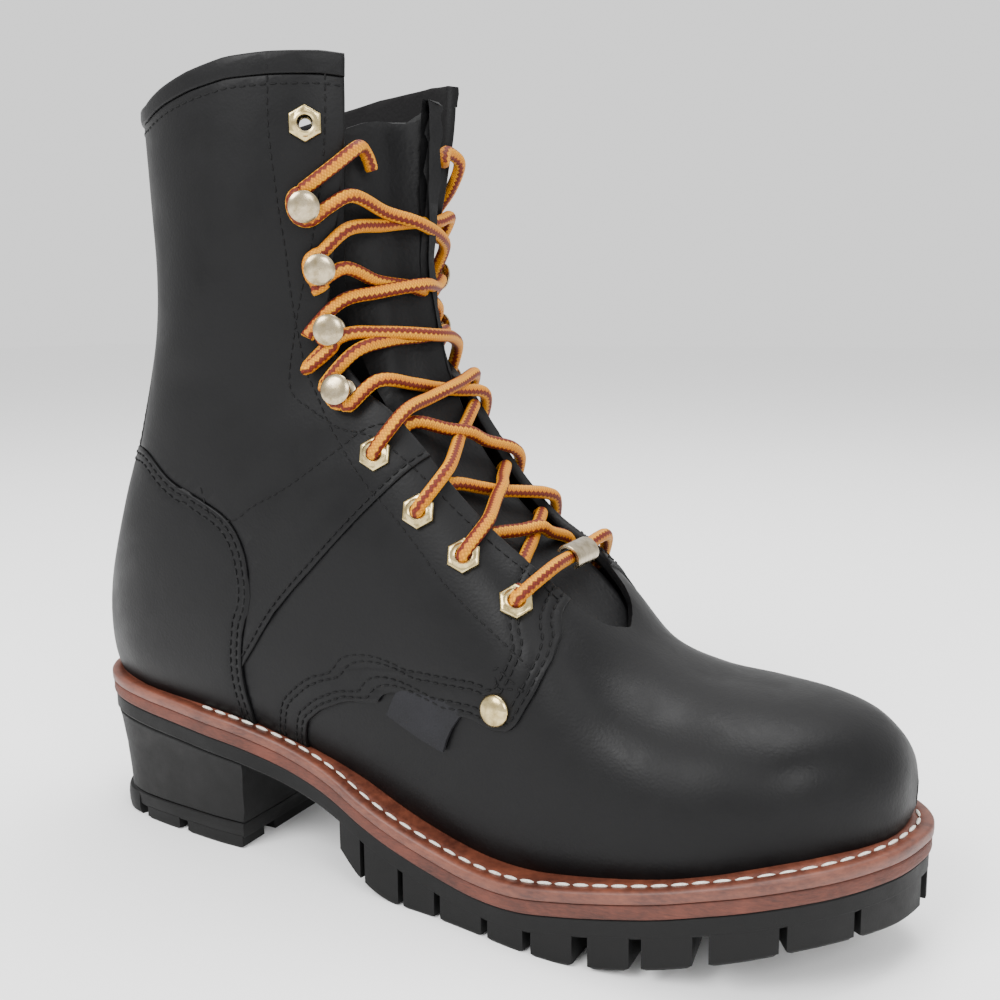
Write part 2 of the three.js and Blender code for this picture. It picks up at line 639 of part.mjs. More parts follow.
// Outsole: a continuous rubber layer with edge lugs and centre lugs under the fore part.
const LUG_BACK = 86;
const LUG_ROOT = 5.4; // rubber between the lugs and the brown layers
const topOfRubber = (x) => riseAt(x) - FLAT_FIT;
let outsole = soleLayer(1.4, shankBottomAt, topOfRubber, -Infinity, Infinity, 24);
let lugs = soleLayer(1.8, (x) => treadAt(x), (x) => riseAt(x) - LUG_ROOT, LUG_BACK, Infinity, 20);
const LUG_PITCH = 14;
const GROOVE = 4.4;
for (let i = 0; i < 12; i += 1) {
  const x = LUG_BACK + 13 + i * LUG_PITCH;
  const deep = 30;
  const root = riseAt(x) - LUG_ROOT - 0.6;
  for (const side of [-1, 1]) {
    const [outer, inner] = planEdges(solePlan(1.8), Math.min(x, 268));
    const edge = side < 0 ? outer : inner;
    const y = edge - side * 9;
    lugs = lugs.subtract(block(x - GROOVE / 2, x + GROOVE / 2, y - deep / 2, y + deep / 2, -20, root, side * 0.12));
  }
}
for (const side of [-1, 1]) {
  lugs = lugs.subtract(block(LUG_BACK + 10, 252, side * 17 - 2, side * 17 + 2, -20, 9.5, 0));
}
for (let i = 0; i < 5; i += 1) {
  const x = LUG_BACK + 20 + i * 2 * LUG_PITCH;
  lugs = lugs.subtract(block(x - 2, x + 2, -17, 17, -20, riseAt(x) - LUG_ROOT - 0.6, 0));
}
outsole = outsole.add(lugs.intersect(soleLayer(1.6, (x) => treadAt(x) - 5, topOfRubber)));
addPart("outsole", outsole, "rubber");

const midsoleTop = (x) => riseAt(x) + MIDSOLE_THICK;
const weltTop = (x) => riseAt(x) + MIDSOLE_THICK + FLAT_FIT + WELT_THICK;
addPart("midsole", soleLayer(0.6, riseAt, midsoleTop), "midsole");

// Upper: lofts of the skin function at a chosen lift from the outer surface.
const SKIN_PLACES = [];
for (let s = 0; s < UPPER_ROWS.length - 1; s += 1) {
  SKIN_PLACES.push(s);
  if (s < 3) {
    SKIN_PLACES.push(s + 0.5);
  }
}
SKIN_PLACES.push(UPPER_ROWS.length - 1);
const SKIN_AROUND = 18;

const loftCache = new Map();
function skinLoft(liftBy) {
  if (!loftCache.has(liftBy)) {
    const rings = SKIN_PLACES.map((s) => {
      const ring = [];
      for (let k = 0; k < SKIN_AROUND; k += 1) {
        ring.push(skin(s, k / SKIN_AROUND, liftBy));
      }
      return ring;
    });
    loftCache.set(liftBy, ringSolid(rings));
  }
  return loftCache.get(liftBy);
}

function sideXZ(table) {
  return table.map(([along, up]) => [alongToX(along), up * TALL]);
}

const WIDE = 120;
const HIGH = 340;
const collarLine = sideXZ(COLLAR_TOP);
const aboveCollar = sidePrism([...collarLine, [WIDE + 80, HIGH], [-WIDE, HIGH]], -WIDE, WIDE);

// Everything under the welt's upper face, with the fit space.
function underFeather(space) {
  const line = [];
  for (let i = 0; i <= 28; i += 1) {
    const x = -60 + (345 * i) / 28;
    line.push([x, weltTop(Math.min(Math.max(x, -HEEL_CENTRE), SOLE_LENGTH - HEEL_CENTRE)) + space + 0.2]);
  }
  return sidePrism([...line, [285, -40], [-60, -40]], -WIDE, WIDE);
}

// The throat opening: a wedge that follows the fan of sections.
function throatSolid(extra) {
  const rings = [];
  for (const row of THROAT_ROWS) {
    const section = rowAt(UPPER_ROWS, row.place);
    const low = new THREE.Vector3(alongToX(section.lowAlong), 0, section.lowUp * TALL);
    const high = new THREE.Vector3(alongToX(section.highAlong), 0, section.highUp * TALL);
    const outer = row.outer * BALL_WIDTH + extra;
    const inner = row.inner * BALL_WIDTH + extra;
    const inside = low.clone().lerp(high, 0.62);
    const outside = low.clone().lerp(high, 1.35);
    rings.push([
      new THREE.Vector3(inside.x, -outer, inside.z),
      new THREE.Vector3(inside.x, inner, inside.z),
      new THREE.Vector3(outside.x, inner, outside.z),
      new THREE.Vector3(outside.x, -outer, outside.z),
    ]);
  }
  return ringSolid(rings);
}
const throat = throatSolid(0);

let welt = soleLayer(0, (x) => midsoleTop(x) + FLAT_FIT, weltTop);
welt = welt.subtract(skinLoft(-1.1));
addPart("welt", welt, "welt");

const insoleSlab = soleLayer(1, (x) => midsoleTop(x) + FLAT_FIT, (x) => weltTop(x) + INSOLE_THICK);
addPart("insole", insoleSlab.intersect(skinLoft(-WALL - FIT - 0.1)), "insole");

const upper = skinLoft(0)
  .subtract(skinLoft(-WALL))
  .subtract(underFeather(FLAT_FIT))
  .subtract(aboveCollar)
  .subtract(throat);
addPart("upper", upper, "leather");

// Tongue: a padded sheet under the throat, lower than the collar.
const tongueRings = TONGUE_ROWS.map((row) => {
  const half = row.half * BALL_WIDTH;
  const depth = row.depth * BALL_WIDTH;
  const over = [];
  const under = [];
  const columns = 8;
  for (let i = 0; i <= columns; i += 1) {
    const y = -half + (2 * half * i) / columns;
    const turn = frontTurn(row.place, y);
    over.push(skin(row.place, turn, -depth));
    under.push(skin(row.place, turn, -depth - 3.2));
  }
  return [...over, ...under.reverse()];
});
const tongue = ringSolid(tongueRings);
addPart("tongue", tongue.intersect(skinLoft(-WALL - FIT)), "leather");

// Leather overlays: a thin shell over the upper, cut to a side outline.
function shell(from, thick) {
  return skinLoft(from + thick)
    .subtract(skinLoft(from))
    .subtract(underFeather(FLAT_FIT))
    .subtract(throat);
}
const overlay = shell(FIT, LEATHER);

const counterLine = sideXZ(COUNTER_EDGE);
const shaftLine = sideXZ(SHAFT_EDGE);
const quarterLine = sideXZ(QUARTER_EDGE);
const bandDepth = COLLAR_BAND_DEPTH.map(([along, depth]) => [alongToX(along), depth]);
const bandLine = collarLine.map(([x, z]) => [x, z - lerpTable(bandDepth, x)]);

const GAP = 0.4;
const counterZone = (grow) => {
  const edge = counterLine.map(([x, z]) => [x + grow, z + grow]);
  return sidePrism([[-90, edge[0][1]], ...edge, [edge[edge.length - 1][0], 0], [-90, 0]], -WIDE, WIDE);
};
const bandZone = (grow) =>
  sidePrism([...bandLine.map(([x, z]) => [x, z - grow]), [WIDE + 80, HIGH], [-WIDE, HIGH]], -WIDE, WIDE);
const stayZone = (grow) => {
  const right = BACKSTAY_EDGE.map(([up, half]) => [half * BALL_WIDTH + grow, up * TALL]);
  const left = right.map(([y, z]) => [-y, z]).reverse();
  return backPrism([...right, ...left], -90, 20);
};
const shaftZone = (grow) =>
  sidePrism(
    [...shaftLine.map(([x, z]) => [x + grow * 0.6, z - grow * 0.8]), [WIDE + 80, HIGH], [-WIDE, HIGH]],
    -WIDE,
    WIDE,
  );
const quarterZone = sidePrism([...quarterLine, [WIDE + 60, HIGH], [20, HIGH], [20, 0]], -WIDE, WIDE);
const outerHalf = block(-90, 300, -WIDE, -0.2, -20, HIGH);
const innerHalf = block(-90, 300, 0.2, WIDE, -20, HIGH);

addPart("counter_pocket", overlay.intersect(counterZone(0)), "leather");
addPart("collar_band", overlay.intersect(bandZone(0)).subtract(aboveCollar), "leather");
addPart(
  "backstay",
  overlay.intersect(stayZone(0)).subtract(counterZone(GAP)).subtract(bandZone(GAP)),
  "leather",
);
for (const [side, half] of [
  ["outer", outerHalf],
  ["inner", innerHalf],
]) {
  const free = overlay.intersect(half).subtract(counterZone(GAP)).subtract(bandZone(GAP)).subtract(stayZone(GAP));
  addPart(`shaft_panel_${side}`, free.intersect(shaftZone(0)), "leather");
  addPart(`quarter_${side}`, free.subtract(shaftZone(GAP)).intersect(quarterZone), "leather");
}

// Label tab, bare, stitched to the lower edge of the outer quarter.
const tabShell = skinLoft(FIT * 2 + LEATHER + 1).subtract(skinLoft(FIT * 2 + LEATHER));
addPart("label_tab", tabShell.intersect(sidePrism(sideXZ(TAB_EDGE), -WIDE, 0)), "leather");

// Eyelets, hooks and rivets stand on the overlay, square to the skin.
const SEAT = FIT * 2 + LEATHER;

function nearestOnSkin(target) {
  let best = { distance: Infinity, s: 0, turn: 0 };
  for (let s = 4; s <= UPPER_ROWS.length - 1.01; s += 0.2) {
    for (let turn = target.y < 0 ? 0.15 : 0.5; turn <= (target.y < 0 ? 0.5 : 0.85); turn += 0.01) {
      const distance = skinPoint(s, turn).distanceTo(target);
      if (distance < best.distance) {
        best = { distance, s, turn };
      }
    }
  }
  let step = 0.1;
  while (step > 0.0005) {
    let moved = false;
    for (const [ds, dt] of [
      [step, 0],
      [-step, 0],
      [0, step * 0.05],
      [0, -step * 0.05],
    ]) {
      const distance = skinPoint(best.s + ds, best.turn + dt).distanceTo(target);
      if (distance < best.distance) {
        best = { distance, s: best.s + ds, turn: best.turn + dt };
        moved = true;
      }
    }
    if (!moved) {
      step /= 2;
    }
  }
  return best;
}

function standOn(geometry, spot) {
  const normal = skinNormal(spot.s, spot.turn);
  const turn = new THREE.Quaternion().setFromUnitVectors(new THREE.Vector3(0, 0, 1), normal);
  const place = skinPoint(spot.s, spot.turn).addScaledVector(normal, SEAT);
  const matrix = new THREE.Matrix4().compose(place, turn, new THREE.Vector3(1, 1, 1));
  const copy = geometry.clone();
  copy.applyMatrix4(matrix);
  return asManifold(copy);
}

function turned(profile, segments) {
  return new THREE.LatheGeometry(
    profile.map(([r, z]) => new THREE.Vector2(r, z)),
    segments,
  ).rotateX(Math.PI / 2);
}

const hexPlate = turned(
  [
    [EYELET_BORE / 2, 0],
    [HEX_ACROSS / 2, 0],
    [HEX_ACROSS / 2, 1],
    [EYELET_BORE / 2 + 0.8, 1.9],
    [EYELET_BORE / 2, 0],
  ],
  6,
);
const hookBody = turned(
  [
    [0, 0],
    [4.4, 0],
    [1.9, 1.2],
    [1.9, HOOK_HEIGHT - 2.1],
    [HOOK_CAP / 2, HOOK_HEIGHT - 2.1],
    [HOOK_CAP / 2, HOOK_HEIGHT - 1.2],
    [0, HOOK_HEIGHT],
  ],
  8,
);
const rivetCap = turned(
  [
    [0, 0],
    [4.4, 0],
    [4.4, 0.5],
    [2.8, 1.5],
    [0, 1.8],
  ],
  10,
);

const spots = {};
for (const side of ["outer", "inner"]) {
  spots[side] = HARDWARE_ROWS.map((row) => {
    const y = row.aside * BALL_WIDTH * (side === "outer" ? -1 : 1);
    const spot = nearestOnSkin(new THREE.Vector3(alongToX(row.along), y, row.up * TALL));
    return spot;
  });
  spots[side].forEach((spot, i) => {
    const hex = i < 4 || i === HARDWARE_ROWS.length - 1;
    const solid = standOn(hex ? hexPlate : hookBody, spot);
    addPart(`${hex ? "eyelet" : "hook"}_${side}_${i + 1}`, solid, hex ? "pale" : "nickel");
  });
  const y = RIVET_ROW.aside * BALL_WIDTH * (side === "outer" ? -1 : 1);
  const spot = nearestOnSkin(new THREE.Vector3(alongToX(RIVET_ROW.along), y, RIVET_ROW.up * TALL));
  addPart(`rivet_${side}`, standOn(rivetCap, spot), "nickel");
}

// A round cord through points: rings square to the path.
function cordSolid(points, radius, pieces, sides = 6) {
  const curve = new THREE.CatmullRomCurve3(points, false, "centripetal");
  const frames = curve.computeFrenetFrames(pieces, false);
  const rings = [];
  for (let i = 0; i <= pieces; i += 1) {
    const middle = curve.getPointAt(i / pieces);
    const ring = [];
    for (let k = 0; k < sides; k += 1) {
      const angle = (2 * Math.PI * k) / sides;
      ring.push(
        middle
          .clone()
          .addScaledVector(frames.normals[i], radius * Math.cos(angle))
          .addScaledVector(frames.binormals[i], radius * Math.sin(angle)),
      );
    }
    rings.push(ring);
  }
  return ringSolid(rings);
}

// A point over the throat or a flap: section place s, sideways y, height over the outer surface.
function overSkin(s, y, height) {
  return skin(s, frontTurn(s, y), height);
}

// Half throat opening on one side at section place s.
function throatHalf(s, side) {
  const column = side < 0 ? "outer" : "inner";
  return lerpTable(
    THROAT_ROWS.map((row) => [row.place, row[column]]),
    s,
  ) * BALL_WIDTH;
}

function tongueDepth(s) {
  return lerpTable(
    TONGUE_ROWS.map((row) => [row.place, row.depth]),
    s,
  ) * BALL_WIDTH;
}

const OVER_LEATHER = SEAT + LACE_RADIUS + FIT;
const OVER_PLATE = SEAT + 1.9 + FIT + LACE_RADIUS + 1.5;
const UNDER_CAP = SEAT + 1.3 + FIT + LACE_RADIUS;
const ROUND_NECK = 1.9 + FIT + LACE_RADIUS + 2.1;
const TOP_NECK = 1.9 + FIT + LACE_RADIUS + 1.3;
const SIDES = [
  [-1, "outer"],
  [1, "inner"],
];

// Distance along the surface for one step of s, at sideways value y.
function reachPerStep(s, y) {
  return overSkin(s + 0.1, y, 0).distanceTo(overSkin(s - 0.1, y, 0)) / 0.2;
}

function edgePoint(s, side, beyond, height) {
  return overSkin(s, side * (throatHalf(s, side) + beyond), height);
}

// Start of a strand at row i: over an eyelet's plate, or beside a hook's neck.
function strandEnd(name, i, upward) {
  const spot = spots[name][i];
  const reach = i === 7 && upward ? TOP_NECK : ROUND_NECK;
  const middle = skinPoint(spot.s, spot.turn);
  const normal = skinNormal(spot.s, spot.turn);
  if (i < 4) {
    return middle.addScaledVector(normal, OVER_PLATE);
  }
  const above = spots[name][Math.min(i + 1, 7)];
  const below = spots[name][Math.min(i, 6)];
  const way = skinPoint(above.s, above.turn).sub(skinPoint(below.s, below.turn)).normalize();
  return middle.addScaledVector(normal, UNDER_CAP).addScaledVector(way, (upward ? 1 : -1) * reach);
}

const DIVE_IN = LACE_RADIUS + FIT + 1;
const LAST_EYELET = 3;

// Points over or under the edge of a flap, from the hardware inward.
function flapPath(name, side, i, upward, dive) {
  const spot = spots[name][i];
  if (dive) {
    return [edgePoint(spot.s - 0.1, side, -DIVE_IN, -1.2)];
  }
  const shift = i > LAST_EYELET ? (upward ? 1 : -1) * ROUND_NECK : 0;
  const s = spot.s + shift / reachPerStep(spot.s, side * throatHalf(spot.s, side));
  const lean = (upward ? 1 : -1) * 0.08;
  return [
    strandEnd(name, i, upward),
    edgePoint(s, side, 2.4, OVER_LEATHER + (i > LAST_EYELET ? 1.8 : 2.3)),
    edgePoint(s + lean, side, -2.2, OVER_LEATHER + 0.3),
  ];
}

// One strand of a crossing, from row i on the start side to row i + 1 on the other side.
function strand(i, startSide, middleLift) {
  const startName = startSide < 0 ? "outer" : "inner";
  const endName = startSide < 0 ? "inner" : "outer";
  const first = flapPath(startName, startSide, i, true, i === 0);
  const last = flapPath(endName, -startSide, i + 1, false, i < LAST_EYELET).reverse();
  const from = spots[startName][i].s;
  const to = spots[endName][i + 1].s;
  const middle = [0.32, 0.5, 0.68].map((t) => {
    const s = from + (to - from) * t;
    const y = startSide * throatHalf(s, startSide) * (1 - 2 * t) * 1.15;
    const bump = (t === 0.5 ? middleLift : middleLift * 0.8) + (i > LAST_EYELET ? 0.8 : 0) - (i === 0 ? 1.6 : 0);
    return overSkin(s, y, -tongueDepth(s) + LACE_RADIUS + 2.5 + bump);
  });
  return cordSolid([...first, ...middle, ...last], LACE_RADIUS, 9, 5);
}

for (let i = 0; i < 7; i += 1) {
  const under = strand(i, i % 2 === 0 ? -1 : 1, 0);
  const over = strand(i, i % 2 === 0 ? 1 : -1, 2 * LACE_RADIUS - 0.9);
  addPart(`lace_crossing_${i + 1}`, under.add(over), "lace");
}

// The lowest bar of the lace, through the keeper.
const barPlace = (spots.outer[0].s + spots.inner[0].s) / 2 - 0.15;
const barHeight = OVER_LEATHER + 1;
const barPoints = [
  strandEnd("outer", 0, true),
  edgePoint(barPlace, -1, 1.5, OVER_LEATHER + 2),
  overSkin(barPlace, -9, barHeight),
  overSkin(barPlace, 0, barHeight),
  overSkin(barPlace, 9, barHeight),
  edgePoint(barPlace, 1, 1.5, OVER_LEATHER + 2),
  strandEnd("inner", 0, true),
];
addPart("lace_bar", cordSolid(barPoints, LACE_RADIUS, 12, 6), "lace");

// Lace keeper: a bent metal strip over the lowest bar.
const KEEPER_LONG = 17;
const KEEPER_IN = LACE_RADIUS + 1.6;
const KEEPER_OUT = KEEPER_IN + 1.1;
const keeperShape = new THREE.Shape();
keeperShape.absarc(0, 0, KEEPER_OUT, -0.25, Math.PI + 0.25, false);
keeperShape.absarc(0, 0, KEEPER_IN, Math.PI + 0.25, -0.25, true);
keeperShape.closePath();
const keeperGeometry = new THREE.ExtrudeGeometry(keeperShape, {
  depth: KEEPER_LONG,
  bevelEnabled: false,
  curveSegments: 5,
});
keeperGeometry.translate(0, 0, -KEEPER_LONG / 2);
const keeperNormal = skinNormal(barPlace, frontTurn(barPlace, 0));
const keeperY = new THREE.Vector3(0, 1, 0);
const keeperX = new THREE.Vector3().crossVectors(keeperNormal, keeperY).normalize();
keeperGeometry.applyMatrix4(new THREE.Matrix4().makeBasis(keeperX, keeperNormal, keeperY.clone().negate()));
const keeperPlace = overSkin(barPlace, 0, barHeight);
keeperGeometry.translate(keeperPlace.x, keeperPlace.y, keeperPlace.z);
addPart("lace_keeper", asManifold(keeperGeometry), "nickel");

// Free ends of the lace, from the top hooks over the edges of the flaps into the throat.
for (const [side, name] of SIDES) {
  const top = flapPath(name, side, 7, true, false);
  const s = spots[name][7].s + ROUND_NECK / reachPerStep(spots[name][7].s, side * throatHalf(spots[name][7].s, side));
  const points = [
    ...top,
    edgePoint(s + 0.15, side, -5, -0.6),
    edgePoint(s + 0.1, side, -8, -3.2),
    edgePoint(s - 0.1, side, -12, -4.4),
  ];
  addPart(`lace_end_${name}`, cordSolid(points, LACE_RADIUS, 8, 6), "lace");
}


export default boot;
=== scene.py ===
"""The look of a tall black logger boot with a safety toe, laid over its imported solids.

The outer face of the upper is one function of section and turn, the same that shapes the solid.
Sheets of leather are cut out of that face along the boot's own seam lines, given their thickness and
a rounded edge, and sewn with stitches that follow the seams. Lengths are in millimetres until a
mesh is made.
"""

from __future__ import annotations

import logging
import math
from collections.abc import Callable, Sequence
from dataclasses import dataclass, field
from enum import Enum

import bmesh
import bpy
import numpy as np
from mathutils import Matrix, Vector

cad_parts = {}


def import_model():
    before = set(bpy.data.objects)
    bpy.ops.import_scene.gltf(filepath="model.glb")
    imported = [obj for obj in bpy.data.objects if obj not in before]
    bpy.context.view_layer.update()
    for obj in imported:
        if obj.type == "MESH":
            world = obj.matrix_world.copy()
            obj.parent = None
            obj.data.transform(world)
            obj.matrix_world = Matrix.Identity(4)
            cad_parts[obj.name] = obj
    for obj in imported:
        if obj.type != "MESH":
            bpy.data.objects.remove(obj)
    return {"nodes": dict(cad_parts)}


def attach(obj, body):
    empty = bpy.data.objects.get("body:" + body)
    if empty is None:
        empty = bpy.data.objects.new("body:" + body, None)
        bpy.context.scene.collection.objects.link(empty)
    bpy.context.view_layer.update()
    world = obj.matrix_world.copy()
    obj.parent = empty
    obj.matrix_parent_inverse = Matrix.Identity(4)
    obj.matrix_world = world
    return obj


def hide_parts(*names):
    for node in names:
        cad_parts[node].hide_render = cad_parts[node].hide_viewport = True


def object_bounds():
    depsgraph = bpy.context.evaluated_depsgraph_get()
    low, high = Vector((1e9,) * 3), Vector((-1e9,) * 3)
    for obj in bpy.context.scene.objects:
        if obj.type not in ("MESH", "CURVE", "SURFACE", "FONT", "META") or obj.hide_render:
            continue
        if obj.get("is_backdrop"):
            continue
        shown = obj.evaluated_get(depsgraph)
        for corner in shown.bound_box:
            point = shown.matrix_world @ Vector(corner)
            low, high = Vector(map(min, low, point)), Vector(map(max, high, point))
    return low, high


log = logging.getLogger("boot")

MM = 0.001
SOLE_LENGTH = 320.0
BALL_WIDTH = 114.0
HEEL_RISE = 50.0
TALL = 283.0
HEEL_CENTRE = 46.0
WALL = 2.4
MIDSOLE_THICK = 4.8
WELT_THICK = 4.2
SHANK_THICK = 6.2
LIFT_THICK = 10.0
LACE_RADIUS = 2.3
SEAT = 2.0
GAP = 0.3

# The sole from heel to toe, as shares of its length, the ball width and the heel's rise. Columns: along,
# outer, inner, rise, tread.
SOLE_ROWS = (
    (0, -0.0088, 0.0088, 1.016, 0),
    (0.0044, 0.0965, 0.1053, 1.014, 0),
    (0.0156, 0.1754, 0.1798, 1.01, 0),
    (0.0375, 0.2456, 0.25, 1, 0),
    (0.0688, 0.2912, 0.2939, 0.984, 0),
    (0.1125, 0.3175, 0.3228, 0.952, 0.4),
    (0.1625, 0.3351, 0.3377, 0.92, 0.6),
    (0.2125, 0.35, 0.3351, 0.884, 0.6),
    (0.2625, 0.3526, 0.3202, 0.84, 0.6),
    (0.3125, 0.3404, 0.2939, 0.756, 0.48),
    (0.3563, 0.3491, 0.2807, 0.68, 0.4),
    (0.3937, 0.3702, 0.2895, 0.608, 0.3),
    (0.4313, 0.3965, 0.3158, 0.516, 0.11),
    (0.4719, 0.4123, 0.3509, 0.416, 0.008),
    (0.525, 0.4281, 0.3991, 0.316, 0),
    (0.5813, 0.4561, 0.4386, 0.256, 0),
    (0.6344, 0.486, 0.4781, 0.264, 0),
    (0.6813, 0.4974, 0.4982, 0.312, 0),
    (0.7312, 0.4991, 0.5018, 0.372, 0.04),
    (0.7812, 0.4956, 0.4912, 0.44, 0.116),
    (0.825, 0.4842, 0.4649, 0.512, 0.196),
    (0.8625, 0.4632, 0.4281, 0.568, 0.264),
    (0.9, 0.4158, 0.3737, 0.612, 0.32),
    (0.9344, 0.3421, 0.3053, 0.636, 0.348),
    (0.9625, 0.2491, 0.2333, 0.648, 0.348),
    (0.9828, 0.1526, 0.1702, 0.652, 0.34),
    (0.9956, 0.0439, 0.1053, 0.652, 0.332),
    (1, -0.0281, 0.0368, 0.652, 0.33),
)
# Sections of the upper from toe tip to collar, as shares of the sole's length, the height and the ball
# width. Columns: low along, low up, high along, high up, outer, inner, centre, waist, low, high, spread.
UPPER_ROWS = (
    (0.9819, 0.1625, 0.9828, 0.1926, 0.0175, 0.0175, 0.0482, 0.5, 2.2, 2.2, 0),
    (0.975, 0.1449, 0.9756, 0.2191, 0.1184, 0.114, 0.0395, 0.45, 2.6, 2.3, 0),
    (0.9594, 0.1272, 0.96, 0.2438, 0.193, 0.1798, 0.0281, 0.42, 2.8, 2.4, 0),
    (0.9313, 0.1095, 0.9319, 0.265, 0.2719, 0.25, 0.0175, 0.42, 3, 2.5, 0),
    (0.8875, 0.0954, 0.8884, 0.2774, 0.3596, 0.3246, 0.007, 0.42, 3.2, 2.5, 0),
    (0.8313, 0.0777, 0.8325, 0.2827, 0.4175, 0.3947, 0.0018, 0.42, 3.3, 2.5, 0),
    (0.7688, 0.0636, 0.7712, 0.2898, 0.4368, 0.4263, 0, 0.42, 3.3, 2.45, 0),
    (0.7, 0.0459, 0.7125, 0.3145, 0.4298, 0.4254, 0, 0.41, 3.3, 2.6, 0),
    (0.6375, 0.0371, 0.6641, 0.3587, 0.4167, 0.4035, 0, 0.4, 3.3, 3, 0.0307),
    (0.5687, 0.0389, 0.6203, 0.4028, 0.3965, 0.3684, 0, 0.4, 3.2, 3.5, 0.0307),
    (0.4875, 0.0601, 0.575, 0.447, 0.3684, 0.3333, 0, 0.39, 3.1, 3.9, 0.0132),
    (0.4062, 0.0919, 0.5344, 0.4947, 0.3465, 0.3114, 0, 0.38, 3, 4.2, 0.0132),
    (0.325, 0.1201, 0.5009, 0.5477, 0.3351, 0.307, 0, 0.37, 3, 4.2, 0.0175),
    (0.2375, 0.1396, 0.4759, 0.6007, 0.3316, 0.3114, 0, 0.36, 3, 3.8, 0.0351),
    (0.1437, 0.1519, 0.4609, 0.6537, 0.3289, 0.3202, 0, 0.36, 2.9, 3.2, 0.0526),
    (0.0625, 0.1625, 0.4516, 0.7032, 0.3289, 0.3246, 0, 0.38, 2.6, 2.8, 0.0702),
    (0.0156, 0.2049, 0.4453, 0.7456, 0.3289, 0.3289, 0, 0.41, 2.35, 2.5, 0.0877),
    (0.0094, 0.3004, 0.4422, 0.788, 0.3377, 0.3377, 0, 0.45, 2.15, 2.4, 0.1053),
    (0.0375, 0.4064, 0.44, 0.8304, 0.3509, 0.3509, 0, 0.48, 2.05, 2.3, 0.114),
    (0.0766, 0.5159, 0.4384, 0.8728, 0.3684, 0.3684, 0, 0.5, 2.05, 2.25, 0.1228),
    (0.1062, 0.6219, 0.4375, 0.9117, 0.386, 0.386, 0, 0.5, 2.05, 2.2, 0.1228),
    (0.1203, 0.7314, 0.4375, 0.9505, 0.3965, 0.3965, 0, 0.5, 2.05, 2.2, 0.1228),
    (0.1172, 0.8481, 0.4375, 0.9929, 0.4035, 0.4035, 0, 0.5, 2.05, 2.2, 0.1228),
    (0.1125, 0.9823, 0.4375, 1.0565, 0.4079, 0.4079, 0, 0.5, 2.05, 2.2, 0.1228),
)
# Half width of the throat opening on each side. Columns: place, outer, inner.
THROAT_ROWS = (
    (7.55, 0.0614, 0.0614),
    (7.7, 0.1053, 0.1053),
    (8, 0.1404, 0.1404),
    (8.4, 0.1623, 0.1623),
    (9, 0.1798, 0.1798),
    (10, 0.1974, 0.1974),
    (12, 0.2237, 0.2149),
    (14, 0.2456, 0.2412),
    (16, 0.25, 0.2632),
    (20, 0.25, 0.2895),
    (23, 0.25, 0.2982),
)
# The tongue: half width and depth under the outer surface. Columns: place, half, depth.
TONGUE_ROWS = (
    (7.3, 0.1754, 0.0316),
    (8, 0.2105, 0.0333),
    (9, 0.2281, 0.0368),
    (10, 0.2368, 0.0439),
    (12, 0.2368, 0.0526),
    (14, 0.2368, 0.0614),
    (16, 0.2281, 0.0658),
    (18, 0.2237, 0.0702),
    (20, 0.2193, 0.0746),
    (20.6, 0.2105, 0.0772),
)
# Upper edge of the counter pocket, seen from the side (share of length, share of height).
COUNTER_EDGE = (
    (-0.0688, 0.5336), (0.0563, 0.5318), (0.1031, 0.53), (0.1459, 0.5272), (0.1859, 0.4929),
    (0.2225, 0.4724), (0.2584, 0.4495), (0.2781, 0.4177), (0.2859, 0.3802), (0.2841, 0.3399),
    (0.275, 0.2954), (0.2716, 0.2509), (0.2756, 0.2049),
)
# Lower edge of the shaft panel.
SHAFT_EDGE = (
    (0.1969, 0.1519), (0.2809, 0.2728), (0.3244, 0.3406), (0.3775, 0.4021), (0.4278, 0.4594),
    (0.4609, 0.4954), (0.4956, 0.5336), (0.5625, 0.6042),
)
# Lower and front edge of the quarter.
QUARTER_EDGE = (
    (0.3444, 0.106), (0.3454, 0.1654), (0.3561, 0.1996), (0.3771, 0.2191), (0.4104, 0.236),
    (0.4438, 0.2431), (0.4781, 0.2466), (0.5281, 0.2473), (0.575, 0.2484), (0.6025, 0.2405),
    (0.6185, 0.2425), (0.6281, 0.2527), (0.6453, 0.2898), (0.6553, 0.3233), (0.6553, 0.3463),
    (0.6469, 0.364), (0.6375, 0.4417),
)
# Top line of the collar.
COLLAR_TOP = (
    (-0.1625, 0.9611), (0.0719, 0.9594), (0.1344, 0.9558), (0.1781, 0.9576), (0.2188, 0.9717),
    (0.2594, 0.9837), (0.3063, 0.9943), (0.35, 0.9979), (0.3937, 0.9993), (0.4281, 0.9951),
    (0.4938, 0.9859),
)
# Depth of the folded collar band (share of length, mm).
BAND_DEPTH = (
    (-0.0063, 3.6), (0.1187, 4.4), (0.2437, 6), (0.3375, 7), (0.4625, 7.5),
)
# Half width of the back strip (share of height, share of ball width).
BACKSTAY_EDGE = (
    (0.4417, 0.2368), (0.53, 0.2412), (0.5936, 0.2325), (0.689, 0.2149), (0.8304, 0.1798),
    (0.9011, 0.1623), (1.0601, 0.1579),
)
# Eyelets and hooks, low to high. Columns: along, up, aside.
HARDWARE_ROWS = (
    (0.6084, 0.3767, 0.2982),
    (0.55, 0.424, 0.2895),
    (0.4987, 0.4735, 0.2895),
    (0.4469, 0.5392, 0.2895),
    (0.4072, 0.6131, 0.3061),
    (0.3956, 0.6848, 0.3053),
    (0.3884, 0.7555, 0.3123),
    (0.3788, 0.8269, 0.3421),
    (0.3828, 0.9187, 0.3404),
)
# Rivet at the lower front corner of the quarter: along, up, aside.
RIVET_ROW = (0.6041, 0.2647, 0.3947)

